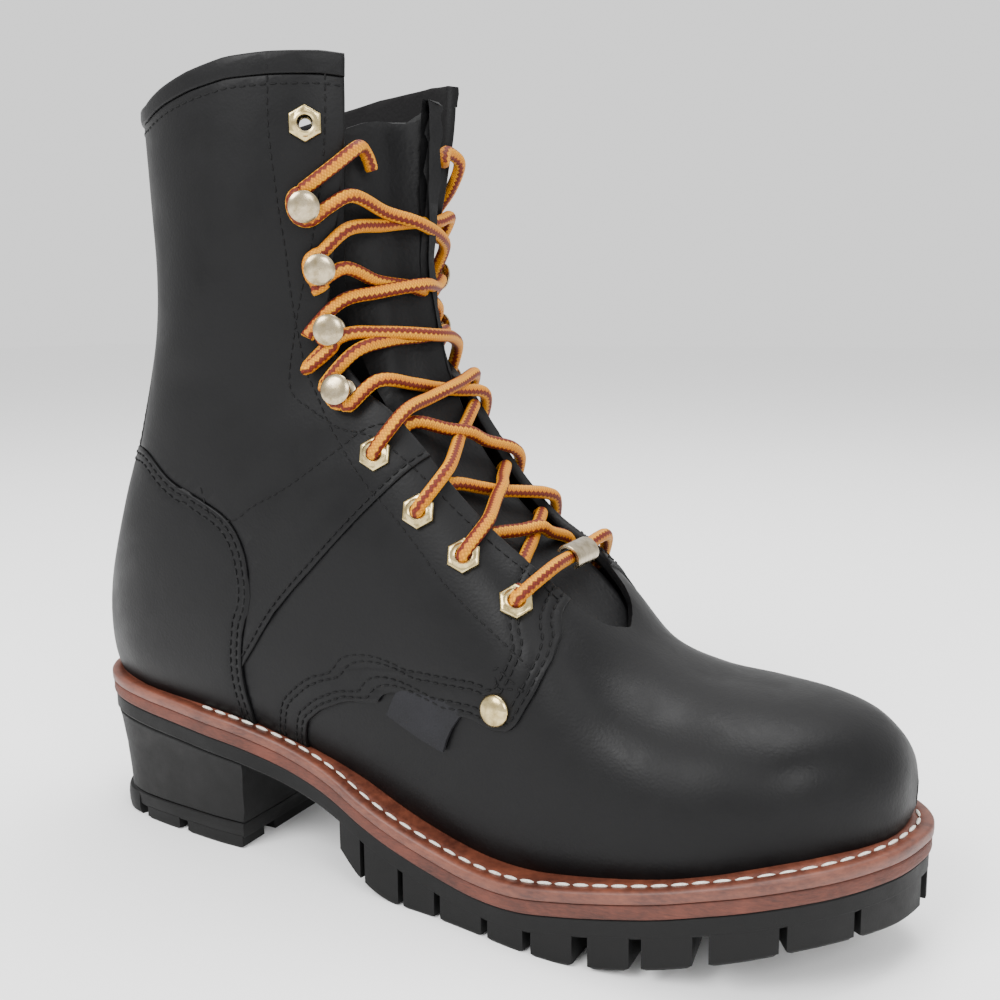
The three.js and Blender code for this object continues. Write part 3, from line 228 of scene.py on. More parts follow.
# Stitch rows that follow no cut edge, as (section, turn) on the outer side.
FACING_ROW = (
    (22.3, 0.318), (21.3, 0.314), (20.1, 0.320), (19.2, 0.326), (18.3, 0.334), (17.5, 0.341),
    (16.3, 0.350), (15.2, 0.352), (14.1, 0.346), (13.0, 0.336), (12.3, 0.333), (11.2, 0.333),
    (10.5, 0.331), (9.4, 0.336), (8.5, 0.341),
)
PULL_ROW = (
    (16.2, 0.263), (15.1, 0.270), (14.8, 0.282), (14.3, 0.302), (13.8, 0.338), (13.5, 0.370),
    (12.9, 0.413),
)
BOX_ROW = ((8.53, 0.314), (9.09, 0.310), (9.0, 0.294), (8.53, 0.314))

# Blocks of the tread along the sole's outline, as shares of the way round from the heel by the outer side.
LUG_SPANS = (
    (0.2040, 0.2178), (0.2206, 0.2403), (0.2432, 0.2606), (0.2640, 0.2872), (0.2907, 0.3096),
    (0.3136, 0.3330), (0.3400, 0.3580), (0.3632, 0.3840), (0.3905, 0.4180), (0.4212, 0.4506),
    (0.4540, 0.4960),
)

# Soft creases of the leather: x, z, half length, half width, slope in degrees, depth.
CREASES = (
    (66.0, 148.0, 26.0, 4.5, 28.0, 0.55),
    (78.0, 131.0, 24.0, 4.0, 38.0, 0.45),
    (20.0, 176.0, 20.0, 5.0, 8.0, 0.35),
    (60.0, 172.0, 24.0, 5.0, 14.0, 0.35),
    (150.0, 62.0, 14.0, 4.0, 62.0, 0.3),
)


def linear(hex_colour: str) -> tuple[float, float, float, float]:
    """The linear colour of an sRGB hex value.

    Args:
        hex_colour: Six hex digits after a hash sign.

    Returns:
        Red, green, blue and 1.
    """
    values = [int(hex_colour[i : i + 2], 16) / 255 for i in (1, 3, 5)]
    channels = [v / 12.92 if v <= 0.04045 else ((v + 0.055) / 1.055) ** 2.4 for v in values]
    return (channels[0], channels[1], channels[2], 1.0)


def spline_rows(table: np.ndarray, place: np.ndarray) -> np.ndarray:
    """Rows of a table at places between its rows, by a smooth curve through them.

    Args:
        table: One row for each whole place.
        place: The places wanted.

    Returns:
        One row for each place.
    """
    last = len(table) - 1
    s = np.clip(place, 0, last)
    i = np.minimum(np.floor(s).astype(int), last - 1)
    t = (s - i)[:, None]
    a, b = table[np.maximum(i - 1, 0)], table[i]
    c, d = table[i + 1], table[np.minimum(i + 2, last)]
    return 0.5 * (2 * b + (c - a) * t + (2 * a - 5 * b + 4 * c - d) * t**2 + (3 * b - a - 3 * c + d) * t**3)


class Skin:
    """The outer face of the upper: section 0 at the toe tip to 23 at the collar, turn 0 at the back."""

    def __init__(self) -> None:
        """Keeps the section table as an array."""
        self.table = np.array(UPPER_ROWS)
        self.last = len(self.table) - 1
        throat = np.array(THROAT_ROWS)
        self.throat_places = throat[:, 0]
        self.throat_outer = throat[:, 1] * BALL_WIDTH
        self.throat_inner = throat[:, 2] * BALL_WIDTH

    def point(self, s: np.ndarray, turn: np.ndarray) -> np.ndarray:
        """Points of the face.

        Args:
            s: Section places.
            turn: Turns from the back, positive by the outer side and negative by the inner side.

        Returns:
            One x, y, z row for each place.
        """
        s = np.atleast_1d(np.asarray(s, float))
        turn = np.broadcast_to(np.asarray(turn, float), s.shape)
        row = spline_rows(self.table, s).T
        low_x, low_z = row[0] * SOLE_LENGTH - HEEL_CENTRE, row[1] * TALL
        high_x, high_z = row[2] * SOLE_LENGTH - HEEL_CENTRE, row[3] * TALL
        outer, inner, centre, waist, low_power, high_power, spread = row[4:]
        across, up = np.sin(turn * 2 * np.pi), -np.cos(turn * 2 * np.pi)
        below = up < 0
        power = 2 / np.where(below, low_power, high_power)
        u = np.sign(across) * np.abs(across) ** power
        v = np.abs(up) ** power
        share = np.where(below, waist * (1 - v), waist + (1 - waist) * v)
        width = np.where(across > 0, outer, inner) * BALL_WIDTH
        reach = np.hypot(high_x - low_x, high_z - low_z)
        moved = spread * BALL_WIDTH * np.minimum(1, -across * 6) / reach
        longer = np.where(across < 0, 1 + moved, 1.0)
        x = low_x + (high_x - low_x) * longer * share
        z = low_z + (high_z - low_z) * longer * share
        return np.stack([x, centre * BALL_WIDTH - u * width, z], 1)

    def normal(self, s: np.ndarray, turn: np.ndarray) -> np.ndarray:
        """Outward unit normals of the face at the given places."""
        s = np.atleast_1d(np.asarray(s, float))
        turn = np.broadcast_to(np.asarray(turn, float), s.shape)
        along = self.point(np.minimum(s + 0.03, self.last), turn) - self.point(np.maximum(s - 0.03, 0), turn)
        around = self.point(s, turn + 0.003) - self.point(s, turn - 0.003)
        out = np.cross(around, along)
        return out / np.maximum(np.linalg.norm(out, axis=1), 1e-9)[:, None]

    def at(self, s: np.ndarray, turn: np.ndarray, lift: np.ndarray | float) -> np.ndarray:
        """Points at a height over the face."""
        lift = np.broadcast_to(np.asarray(lift, float), np.atleast_1d(s).shape)
        return self.point(s, turn) + self.normal(s, turn) * lift[:, None]

    def front_turn(self, s: np.ndarray, y: np.ndarray) -> np.ndarray:
        """The turn at which each section has the sideways value y on its front side."""
        s = np.atleast_1d(np.asarray(s, float))
        y = np.broadcast_to(np.asarray(y, float), s.shape)
        a = np.where(y < 0, 0.25, 0.5)
        b = np.where(y < 0, 0.5, 0.75)
        for _ in range(34):
            middle = (a + b) / 2
            low = self.point(s, middle)[:, 1] < y
            a = np.where(low, middle, a)
            b = np.where(low, b, middle)
        return (a + b) / 2

    def over(self, s: float, y: float, height: float) -> np.ndarray:
        """One point over the front of the boot, from section, sideways value and height."""
        place = np.array([s])
        return self.at(place, self.front_turn(place, np.array([y])), height)[0]

    def half_throat(self, s: np.ndarray, side: int) -> np.ndarray:
        """Half width of the throat opening on one side, negative below its end."""
        values = self.throat_outer if side < 0 else self.throat_inner
        s = np.asarray(s, float)
        inside = np.interp(s, self.throat_places, values)
        start = self.throat_places[0]
        return np.where(s < start, values[0] - (start - s) * 60, inside)

    def nearest(self, target: Sequence[float]) -> tuple[float, float]:
        """Section and turn of the face's point nearest to a target."""
        side = 1 if target[1] < 0 else -1
        s, t = np.meshgrid(np.arange(4, self.last, 0.1), side * np.arange(0.13, 0.5, 0.004), indexing="ij")
        s, t = s.ravel(), t.ravel()
        place = int(np.argmin(np.linalg.norm(self.point(s, t) - np.array(target), axis=1)))
        best = (s[place], t[place])
        step = 0.1
        while step > 0.0005:
            tries = [(best[0] + a * step, best[1] + b * step * 0.05) for a in (-1, 0, 1) for b in (-1, 0, 1)]
            reach = [np.linalg.norm(self.point([a], [b])[0] - np.array(target)) for a, b in tries]
            pick = int(np.argmin(reach))
            if pick == 4:
                step /= 2
            best = tries[pick]
        return best


SKIN = Skin()


def smooth_line(points: Sequence[Sequence[float]], steps: int = 6) -> np.ndarray:
    """A finer line through the points of a coarse one."""
    table = np.array(points, float)
    count = (len(table) - 1) * steps + 1
    return spline_rows(table, np.linspace(0, len(table) - 1, count))


def depth_inside(points: np.ndarray, outline: np.ndarray) -> np.ndarray:
    """Distances of flat points from a closed outline, positive inside it.

    Args:
        points: One x, z row for each point.
        outline: The outline's corners in order; the last joins the first.

    Returns:
        One distance for each point.
    """
    best = np.full(len(points), 1e9)
    inside = np.zeros(len(points), bool)
    for start, end in zip(outline, np.roll(outline, -1, axis=0)):
        way = end - start
        rel = points - start
        share = np.clip((rel @ way) / max(float(way @ way), 1e-12), 0, 1)
        gap = rel - share[:, None] * way
        best = np.minimum(best, np.hypot(gap[:, 0], gap[:, 1]))
        if start[1] != end[1]:
            level = (start[1] <= points[:, 1]) != (end[1] <= points[:, 1])
            cross = start[0] + way[0] * (points[:, 1] - start[1]) / way[1]
            inside ^= level & (points[:, 0] < cross)
    return np.where(inside, best, -best)


def side_line(table: Sequence[Sequence[float]]) -> np.ndarray:
    """A side outline table as x, z in millimetres."""
    rows = np.array(table, float)
    return np.stack([rows[:, 0] * SOLE_LENGTH - HEEL_CENTRE, rows[:, 1] * TALL], 1)


class Sheet:
    """Part of the upper's face, as polygons whose corners hold a section and a turn."""

    def __init__(self, s: np.ndarray, turn: np.ndarray, faces: list[tuple[int, ...]]) -> None:
        """Keeps the corners and the polygons."""
        self.s, self.turn, self.faces = s, turn, faces

    @classmethod
    def whole(cls, s_steps: int, turn_steps: int) -> "Sheet":
        """The whole face as a grid of quads, closed at the toe tip."""
        places = np.linspace(0, SKIN.last, s_steps + 1)
        turns = np.linspace(-0.5, 0.5, turn_steps + 1)
        s, turn = (a.ravel() for a in np.meshgrid(places, turns, indexing="ij"))
        wide = turn_steps + 1
        faces = []
        for i in range(s_steps):
            for j in range(turn_steps):
                a = i * wide + j
                faces.append((a, a + 1, a + wide + 1, a + wide))
        return cls(s, turn, faces)

    def points(self, lift: np.ndarray | float = 0.0) -> np.ndarray:
        """The corners at a height over the face."""
        return SKIN.at(self.s, self.turn, lift)

    def copy(self) -> "Sheet":
        """A sheet that can be cut without changing this one."""
        return Sheet(self.s.copy(), self.turn.copy(), list(self.faces))

    def cut(self, rule: "Rule", level: float = 0.0, drop: bool = True) -> "Sheet":
        """Cuts the polygons along the line where a rule has one value.

        Args:
            rule: Gives a value for each corner.
            level: The value on the line.
            drop: Whether what lies below the value is thrown away.

        Returns:
            This sheet.
        """
        value = rule(self) - level
        value[np.abs(value) < 1e-3] = 1e-3
        high = (value > 0).tolist()
        s, turn = self.s.tolist(), self.turn.tolist()
        made: dict[tuple[int, int], int] = {}
        kept: list[tuple[int, ...]] = []
        for face in self.faces:
            state = [high[k] for k in face]
            if all(state):
                kept.append(face)
                continue
            if not any(state):
                if not drop:
                    kept.append(face)
                continue
            above: list[int] = []
            below: list[int] = []
            for n, k in enumerate(face):
                after = face[(n + 1) % len(face)]
                (above if high[k] else below).append(k)
                if high[k] != high[after]:
                    key = (k, after) if k < after else (after, k)
                    if key not in made:
                        share = value[key[0]] / (value[key[0]] - value[key[1]])
                        made[key] = len(s)
                        s.append(s[key[0]] + (s[key[1]] - s[key[0]]) * share)
                        turn.append(turn[key[0]] + (turn[key[1]] - turn[key[0]]) * share)
                    above.append(made[key])
                    below.append(made[key])
            if len(above) > 2:
                kept.append(tuple(above))
            if not drop and len(below) > 2:
                kept.append(tuple(below))
        self.s, self.turn, self.faces = np.array(s), np.array(turn), kept
        return self.tidy()

    def tidy(self) -> "Sheet":
        """Drops corners that no polygon uses."""
        used = sorted({k for face in self.faces for k in face})
        place = {k: n for n, k in enumerate(used)}
        self.s, self.turn = self.s[used], self.turn[used]
        self.faces = [tuple(place[k] for k in face) for face in self.faces]
        return self

    def contour(self, rule: "Rule", level: float) -> list[np.ndarray]:
        """Lines on the sheet along which a rule has one value.

        Args:
            rule: Gives a value for each corner.
            level: The value on the line.

        Returns:
            One array of (section, turn) rows for each line.
        """
        value = rule(self) - level
        value[np.abs(value) < 1e-6] = 1e-6
        spots: dict[tuple[int, int], tuple[float, float]] = {}
        links: dict[tuple[int, int], list[tuple[int, int]]] = {}
        for face in self.faces:
            hits = []
            for n, k in enumerate(face):
                after = face[(n + 1) % len(face)]
                if (value[k] > 0) != (value[after] > 0):
                    key = (k, after) if k < after else (after, k)
                    share = value[key[0]] / (value[key[0]] - value[key[1]])
                    spots[key] = (
                        self.s[key[0]] + (self.s[key[1]] - self.s[key[0]]) * share,
                        self.turn[key[0]] + (self.turn[key[1]] - self.turn[key[0]]) * share,
                    )
                    hits.append(key)
            if len(hits) == 2:
                links.setdefault(hits[0], []).append(hits[1])
                links.setdefault(hits[1], []).append(hits[0])
        lines = []
        left = set(links)
        while left:
            ends = [k for k in left if len([m for m in links[k] if m in left]) < 2]
            here = ends[0] if ends else next(iter(left))
            line = [here]
            left.discard(here)
            while True:
                following = [m for m in links[here] if m in left]
                if not following:
                    break
                here = following[0]
                left.discard(here)
                line.append(here)
            if len(line) > 3:
                lines.append(np.array([spots[k] for k in line]))
        return lines


Rule = Callable[[Sheet], np.ndarray]
Height = Callable[[float], float]
Shape = tuple[np.ndarray, list]


def curve_piece(corners: Sequence[np.ndarray], w: float) -> np.ndarray:
    """A point of the smooth curve through four corners, between the second and the third.

    Args:
        corners: Four points in order.
        w: Share of the way from the second to the third.

    Returns:
        The point.
    """
    p0, p1, p2, p3 = corners
    d0, d1, d2 = (max(float(np.linalg.norm(b - a)) ** 0.5, 1e-4) for a, b in ((p0, p1), (p1, p2), (p2, p3)))
    t1 = ((p1 - p0) / d0 - (p2 - p0) / (d0 + d1) + (p2 - p1) / d1) * d1
    t2 = ((p2 - p1) / d1 - (p3 - p1) / (d1 + d2) + (p3 - p2) / d2) * d1
    return p1 + t1 * w + (3 * (p2 - p1) - 2 * t1 - t2) * w * w + (2 * (p1 - p2) + t1 + t2) * w**3


class SoleForm:
    """Outline and heights of the sole along the foot."""

    def __init__(self) -> None:
        """Keeps the sole table as an array."""
        self.table = np.array(SOLE_ROWS)

    def row(self, x: float) -> np.ndarray:
        """The sole table's row at x, by slopes that fit its uneven steps."""
        table = self.table
        share = (x + HEEL_CENTRE) / SOLE_LENGTH
        i = int(np.clip(np.searchsorted(table[:, 0], share) - 1, 0, len(table) - 2))
        a, b = table[i], table[i + 1]
        before, after = table[max(i - 1, 0)], table[min(i + 2, len(table) - 1)]
        step = b[0] - a[0]
        t = min(max((share - a[0]) / step, 0.0), 1.0)
        slope_a = (b - before) / max(b[0] - before[0], 1e-9)
        slope_b = (after - a) / max(after[0] - a[0], 1e-9)
        t2, t3 = t * t, t**3
        blend_a, blend_b = 2 * t3 - 3 * t2 + 1, 3 * t2 - 2 * t3
        return blend_a * a + (t3 - 2 * t2 + t) * step * slope_a + blend_b * b + (t3 - t2) * step * slope_b

    def rise(self, x: float) -> float:
        """Height of the rubber's top at x."""
        return float(self.row(x)[3]) * HEEL_RISE

    def tread(self, x: float) -> float:
        """Height of the tread's lowest face at x."""
        return max(float(self.row(x)[4]) * HEEL_RISE, 0.0)

    def midsole_top(self, x: float) -> float:
        """Height of the brown middle layer's top at x."""
        return self.rise(x) + MIDSOLE_THICK

    def welt_top(self, x: float) -> float:
        """Height of the welt's top at x."""
        return self.rise(x) + MIDSOLE_THICK + GAP + WELT_THICK

    def heights(self, rule: Height, xs: np.ndarray) -> np.ndarray:
        """A height rule read at many x values through a fine table."""
        grid = np.linspace(-HEEL_CENTRE, SOLE_LENGTH - HEEL_CENTRE, 321)
        return np.interp(xs, grid, np.array([rule(x) for x in grid]))

    def outline(self, inset: float, count: int = 360) -> np.ndarray:
        """The closed plan outline from the heel round by the outer side.

        Args:
            inset: How far it is moved inward.
            count: Number of evenly spaced points.

        Returns:
            One x, y row for each point.
        """
        rows = self.table
        outer = [(r[0] * SOLE_LENGTH - HEEL_CENTRE, -r[1] * BALL_WIDTH) for r in rows]
        inner = [(r[0] * SOLE_LENGTH - HEEL_CENTRE, r[2] * BALL_WIDTH) for r in rows]
        loop = np.array(outer + inner[1:-1][::-1])
        many = len(loop)
        found = []
        for k in range(4 * many):
            i, w = divmod(k / 4, 1)
            found.append(curve_piece([loop[(int(i) + n) % many] for n in (-1, 0, 1, 2)], w))
        ring = np.array(found + [found[0]])
        reach = np.r_[0, np.cumsum(np.hypot(*(ring[1:] - ring[:-1]).T))]
        even = np.linspace(0, reach[-1], count + 1)[:-1]
        plan = np.stack([np.interp(even, reach, ring[:, 0]), np.interp(even, reach, ring[:, 1])], 1)
        tangent = np.roll(plan, -1, 0) - np.roll(plan, 1, 0)
        tangent /= np.hypot(tangent[:, 0], tangent[:, 1])[:, None]
        return plan + np.stack([-tangent[:, 1], tangent[:, 0]], 1) * inset


SOLE = SoleForm()


class Seams:
    """Rules that tell how far inside each cut edge of the leather a corner lies."""

    def __init__(self) -> None:
        """Makes the side lines of the panels."""
        collar = side_line(COLLAR_TOP)
        self.collar_line = collar
        depth = np.array(BAND_DEPTH)
        self.band_x = depth[:, 0] * SOLE_LENGTH - HEEL_CENTRE
        self.band_depth = depth[:, 1]
        counter = smooth_line(side_line(COUNTER_EDGE))
        far = 900.0
        self.counter_line = np.vstack(
            [[(-far, counter[0, 1])], counter, [(counter[-1, 0], -far), (-far, -far)]]
        )
        shaft = smooth_line(side_line(SHAFT_EDGE))
        beyond = shaft[-1] + (shaft[-1] - shaft[-7]) * 20
        self.shaft_line = np.vstack(
            [[(shaft[0, 0], -far)], shaft, [beyond, (beyond[0], far), (-far, far), (-far, -far)]]
        )
        quarter = side_line(QUARTER_EDGE)
        self.quarter_line = np.vstack(
            [[(quarter[0, 0], -far)], quarter, [(quarter[-1, 0], far), (-far, far), (-far, -far)]]
        )
        stay = np.array(sorted(BACKSTAY_EDGE))
        self.stay_z, self.stay_half = stay[:, 0] * TALL, stay[:, 1] * BALL_WIDTH
        self.holes: list[np.ndarray] = []

    @staticmethod
    def _side(sheet: Sheet) -> np.ndarray:
        """The corners seen from the side."""
        return sheet.points()[:, (0, 2)]

    def feather(self, sheet: Sheet) -> np.ndarray:
        """Height over the welt's top, less what is hidden behind it."""
        p = sheet.points()
        return p[:, 2] - SOLE.heights(SOLE.welt_top, p[:, 0]) + 1.4

    def collar(self, sheet: Sheet) -> np.ndarray:
        """Depth under the collar's top line."""
        p = sheet.points()
        return np.interp(p[:, 0], self.collar_line[:, 0], self.collar_line[:, 1]) - p[:, 2]

    def band(self, sheet: Sheet) -> np.ndarray:
        """Height over the lower edge of the folded collar band."""
        p = sheet.points()
        return np.interp(p[:, 0], self.band_x, self.band_depth) - self.collar(sheet)

    def throat(self, sheet: Sheet) -> np.ndarray:
        """Distance outside the throat opening."""
        y = sheet.points()[:, 1]
        outer = -y - SKIN.half_throat(sheet.s, -1)
        inner = y - SKIN.half_throat(sheet.s, 1)
        both = np.where(sheet.turn > 0, outer, inner)
        return np.where(np.abs(sheet.turn) > 0.25, both, 60.0)

    def counter(self, sheet: Sheet) -> np.ndarray:
        """Depth inside the counter pocket."""
        return depth_inside(self._side(sheet), self.counter_line)

    def shaft(self, sheet: Sheet) -> np.ndarray:
        """Height inside the shaft panel's lower edge."""
        return depth_inside(self._side(sheet), self.shaft_line)

    def quarter(self, sheet: Sheet) -> np.ndarray:
        """Depth inside the quarter's lower and front edge."""
        return depth_inside(self._side(sheet), self.quarter_line)

    def stay(self, sheet: Sheet) -> np.ndarray:
        """Depth inside the strip up the back."""
        p = sheet.points()
        half = np.interp(p[:, 2], self.stay_z, self.stay_half)
        behind = (np.abs(sheet.turn) < 0.25) & (p[:, 0] < 60)
        return np.where(behind, half - np.abs(p[:, 1]), -60.0)

    def hole(self, sheet: Sheet) -> np.ndarray:
        """Distance outside the nearest eyelet hole."""
        p = sheet.points()
        reach = np.full(len(p), 60.0)
        for spot in self.holes:
            reach = np.minimum(reach, np.linalg.norm(p - spot, axis=1) - 2.4)
        return reach


def opposite(rule: Rule, shift: float = 0.0) -> Rule:
    """The rule for the other side of a seam, moved by a shift."""
    return lambda sheet: -rule(sheet) - shift


def waves(p: np.ndarray) -> np.ndarray:
    """Slow unevenness of the hide and the soft creases at the ankle, as a height."""
    x, y, z = p.T
    height = 0.16 * np.sin(x / 9.3 + z / 14.1 + 0.8) * np.sin(z / 17.7 - x / 31.0)
    height += 0.12 * np.sin(x / 21.0 - y / 12.0 + 2.1) * np.sin(z / 9.1 + y / 18.0)
    fade = np.clip((235.0 - x) / 60.0, 0, 1) * np.clip((z - 45.0) / 30.0, 0.2, 1)
    height *= fade
    for cx, cz, half_long, half_wide, slope, depth in CREASES:
        turn = math.radians(slope)
        along = (x - cx) * math.cos(turn) + (z - cz) * math.sin(turn)
        across = (z - cz) * math.cos(turn) - (x - cx) * math.sin(turn) + 0.006 * along**2
        height -= depth * np.exp(-((along / half_long) ** 2) - (across / half_wide) ** 2)
        height += 0.5 * depth * np.exp(-((along / half_long) ** 2) - ((across - 2 * half_wide) / half_wide) ** 2)
    return height


def add_node(
    tree: bpy.types.NodeTree, kind: str, links: dict | None = None, **settings: object
) -> bpy.types.Node:
    """Adds one node with its settings and inputs.

    Args:
        tree: The tree that gets it.
        kind: The node's type name.
        links: Input name or number to a value, or to an output socket that feeds it.
        settings: Attributes of the node.

    Returns:
        The new node.
    """
    made = tree.nodes.new(kind)
    for key, value in settings.items():
        setattr(made, key, value)
    for key, value in (links or {}).items():
        if isinstance(value, bpy.types.NodeSocket):
            tree.links.new(value, made.inputs[key])
        else:
            made.inputs[key].default_value = value
    return made


class Finish:
    """One material under construction: a bare surface shader and the nodes that feed it."""

    def __init__(self, name: str) -> None:
        """Makes the material.

        Args:
            name: The material's name.
        """
        self.material = bpy.data.materials.new(name)
        self.material.use_nodes = True
        self.tree = self.material.node_tree
        self.shader = self.tree.nodes["Principled BSDF"]

    def set(self, **values: object) -> None:
        """Sets constants on the shader; an underscore in a name stands for a space."""
        for key, value in values.items():
            self.shader.inputs[key.replace("_", " ")].default_value = value

    def feed(self, name: str, value: bpy.types.NodeSocket) -> None:
        """Links a value to one of the shader's inputs."""
        self.tree.links.new(value, self.shader.inputs[name])

    def place(self) -> bpy.types.NodeSocket:
        """The point in the object's own coordinates."""
        return add_node(self.tree, "ShaderNodeTexCoord").outputs["Object"]

    def noise(
        self, place: bpy.types.NodeSocket, size_mm: float, detail: float, rough: float, distort: float = 0.0
    ) -> bpy.types.NodeSocket:
        """Noise with grains of a given size.

        Args:
            place: Where it is read.
            size_mm: Size of a grain in mm.
            detail: Number of finer layers.
            rough: Weight of the finer layers.
            distort: How far it is stirred.

        Returns:
            A value from 0 to 1.
        """
        links = {
            "Vector": place,
            "Scale": 1 / (size_mm * MM),
            "Detail": detail,
            "Roughness": rough,
            "Distortion": distort,
        }
        return add_node(self.tree, "ShaderNodeTexNoise", links).outputs[0]

    def calc(self, operation: str, *values: object) -> bpy.types.NodeSocket:
        """One step of arithmetic on sockets or numbers."""
        return add_node(self.tree, "ShaderNodeMath", dict(enumerate(values)), operation=operation).outputs[0]

    def spread(
        self, value: bpy.types.NodeSocket, low: float, high: float, to_low: float, to_high: float
    ) -> bpy.types.NodeSocket:
        """Moves a value from one range to another."""
        links = {0: value, 1: low, 2: high, 3: to_low, 4: to_high}
        return add_node(self.tree, "ShaderNodeMapRange", links).outputs[0]

    def colours(
        self, share: bpy.types.NodeSocket, stops: Sequence[tuple[float, str]]
    ) -> bpy.types.NodeSocket:
        """Turns a 0 to 1 value to a colour between stops, each a place and a hex colour."""
        ramp = add_node(self.tree, "ShaderNodeValToRGB", {0: share})
        elements = ramp.color_ramp.elements
        while len(elements) < len(stops):
            elements.new(0.5)
        for element, (place, colour) in zip(elements, stops):
            element.position = place
            element.color = linear(colour)
        return ramp.outputs[0]

    def relief(self, height: bpy.types.NodeSocket, strength: float, deep_mm: float) -> None:
        """Gives the surface a fine relief of a depth in mm."""
        links = {"Height": height, "Strength": strength, "Distance": deep_mm * MM}
        self.feed("Normal", add_node(self.tree, "ShaderNodeBump", links).outputs[0])


@dataclass(frozen=True)
class OiledLeather:
    """Full-grain cowhide, drum dyed and oiled: matt with a soft sheen, fine pores and slow mottling."""

    name: str = "oiled_leather_black"
    dark: str = "#040405"
    light: str = "#0a0a0b"
    roughness: float = 0.47
    pore_mm: float = 0.9
    bump: float = 0.16

    def build(self) -> bpy.types.Material:
        """Makes the material."""
        finish = Finish(self.name)
        place = finish.place()
        # Pores of about 0.9 mm, drawn a little coarser than the real 0.3 mm so that they show.
        grid = {"Vector": place, "Scale": 1 / (self.pore_mm * MM)}
        pores = add_node(finish.tree, "ShaderNodeTexVoronoi", grid, feature="SMOOTH_F1").outputs["Distance"]
        # Wax pull-up and handling marks, some 22 mm across.
        mottle = finish.noise(place, 22, 5.0, 0.62, 0.4)
        fine = finish.noise(place, 2.4, 4.0, 0.6)
        finish.feed("Base Color", finish.colours(mottle, [(0.32, self.dark), (0.72, self.light)]))
        rough = finish.spread(mottle, 0.3, 0.7, self.roughness - 0.06, self.roughness + 0.1)
        finish.feed("Roughness", rough)
        finish.relief(finish.calc("ADD", pores, fine), self.bump, 0.3)
        finish.set(IOR=1.46, Specular_IOR_Level=0.2)
        return finish.material


@dataclass(frozen=True)
class MouldedRubber:
    """Nitrile rubber pressed in a mould: very dark, dull, with fine pitting and dusty edges."""

    name: str = "moulded_rubber_black"
    dark: str = "#060606"
    light: str = "#0e0e0e"
    roughness: float = 0.62

    def build(self) -> bpy.types.Material:
        """Makes the material."""
        finish = Finish(self.name)
        place = finish.place()
        # Mould texture of about 0.6 mm, and dust and scuffs some 9 mm across.
        pits = finish.noise(place, 0.6, 3.0, 0.7)
        dust = finish.noise(place, 9, 6.0, 0.65)
        finish.feed("Base Color", finish.colours(dust, [(0.35, self.dark), (0.8, self.light)]))
        rough = finish.spread(dust, 0.3, 0.8, self.roughness - 0.08, self.roughness + 0.12)
        finish.feed("Roughness", rough)
        finish.relief(pits, 0.35, 0.25)
        finish.set(Specular_IOR_Level=0.2)
        return finish.material


class BoardLayer(Enum):
    """Which brown layer of the sole a finish is for."""

    WELT = "welt"
    MIDSOLE = "midsole"


@dataclass(frozen=True)
class BrownBoard:
    """Welt leather, dyed and waxed, or the leather board under it with its coarser cut edge."""

    layer: BoardLayer
    dark: str
    light: str
    roughness: float

    def build(self) -> bpy.types.Material:
        """Makes the material."""
        finish = Finish(f"brown_{self.layer.value}")
        place = finish.place()
        coarse = self.layer is BoardLayer.MIDSOLE
        # Fibres of the cut edge run along it: 3 mm long and 0.5 mm thick on the board.
        links = {"Vector": place, "Scale": (1.0, 1.0, 6.0 if coarse else 3.0)}
        stretch = add_node(finish.tree, "ShaderNodeMapping", links).outputs[0]
        fibres = finish.noise(stretch, 3.0, 6.0, 0.7)
        wear = finish.noise(place, 14, 4.0, 0.6)
        half = finish.calc("MULTIPLY", finish.calc("ADD", fibres, wear), 0.5)
        finish.feed("Base Color", finish.colours(half, [(0.36, self.dark), (0.64, self.light)]))
        finish.relief(fibres, 0.6 if coarse else 0.2, 0.4)
        finish.set(Roughness=self.roughness)
        return finish.material


@dataclass(frozen=True)
class PlatedMetal:
    """Nickel- or brass-plated steel pressings, tumbled to a satin shine with small handling scratches."""

    name: str
    colour: str
    tarnish: str
    roughness: float

    def build(self) -> bpy.types.Material:
        """Makes the material."""
        finish = Finish(self.name)
        place = finish.place()
        # Uneven plating some 3 mm across, and a tumbled surface of about 0.5 mm.
        plating = finish.noise(place, 3, 4.0, 0.6)
        tumbled = finish.noise(place, 0.5, 2.0, 0.5)
        finish.feed("Base Color", finish.colours(plating, [(0.3, self.tarnish), (0.6, self.colour)]))
        rough = finish.spread(plating, 0.3, 0.7, self.roughness + 0.08, self.roughness - 0.04)
        finish.feed("Roughness", rough)
        finish.relief(tumbled, 0.12, 0.1)
        finish.set(Metallic=1.0)
        return finish.material


@dataclass(frozen=True)
class SewingThread:
    """Waxed polyester thread, twisted: each stitch shows two or three plies."""

    name: str
    colour: str
    shade: str
    roughness: float = 0.6

    def build(self) -> bpy.types.Material:
        """Makes the material."""
        finish = Finish(self.name)
        # Plies of about 0.35 mm.
        plies = finish.noise(finish.place(), 0.35, 2.0, 0.5)
        finish.feed("Base Color", finish.colours(plies, [(0.35, self.shade), (0.6, self.colour)]))
        finish.relief(plies, 0.4, 0.15)
        finish.set(Roughness=self.roughness, Specular_IOR_Level=0.2)
        return finish.material


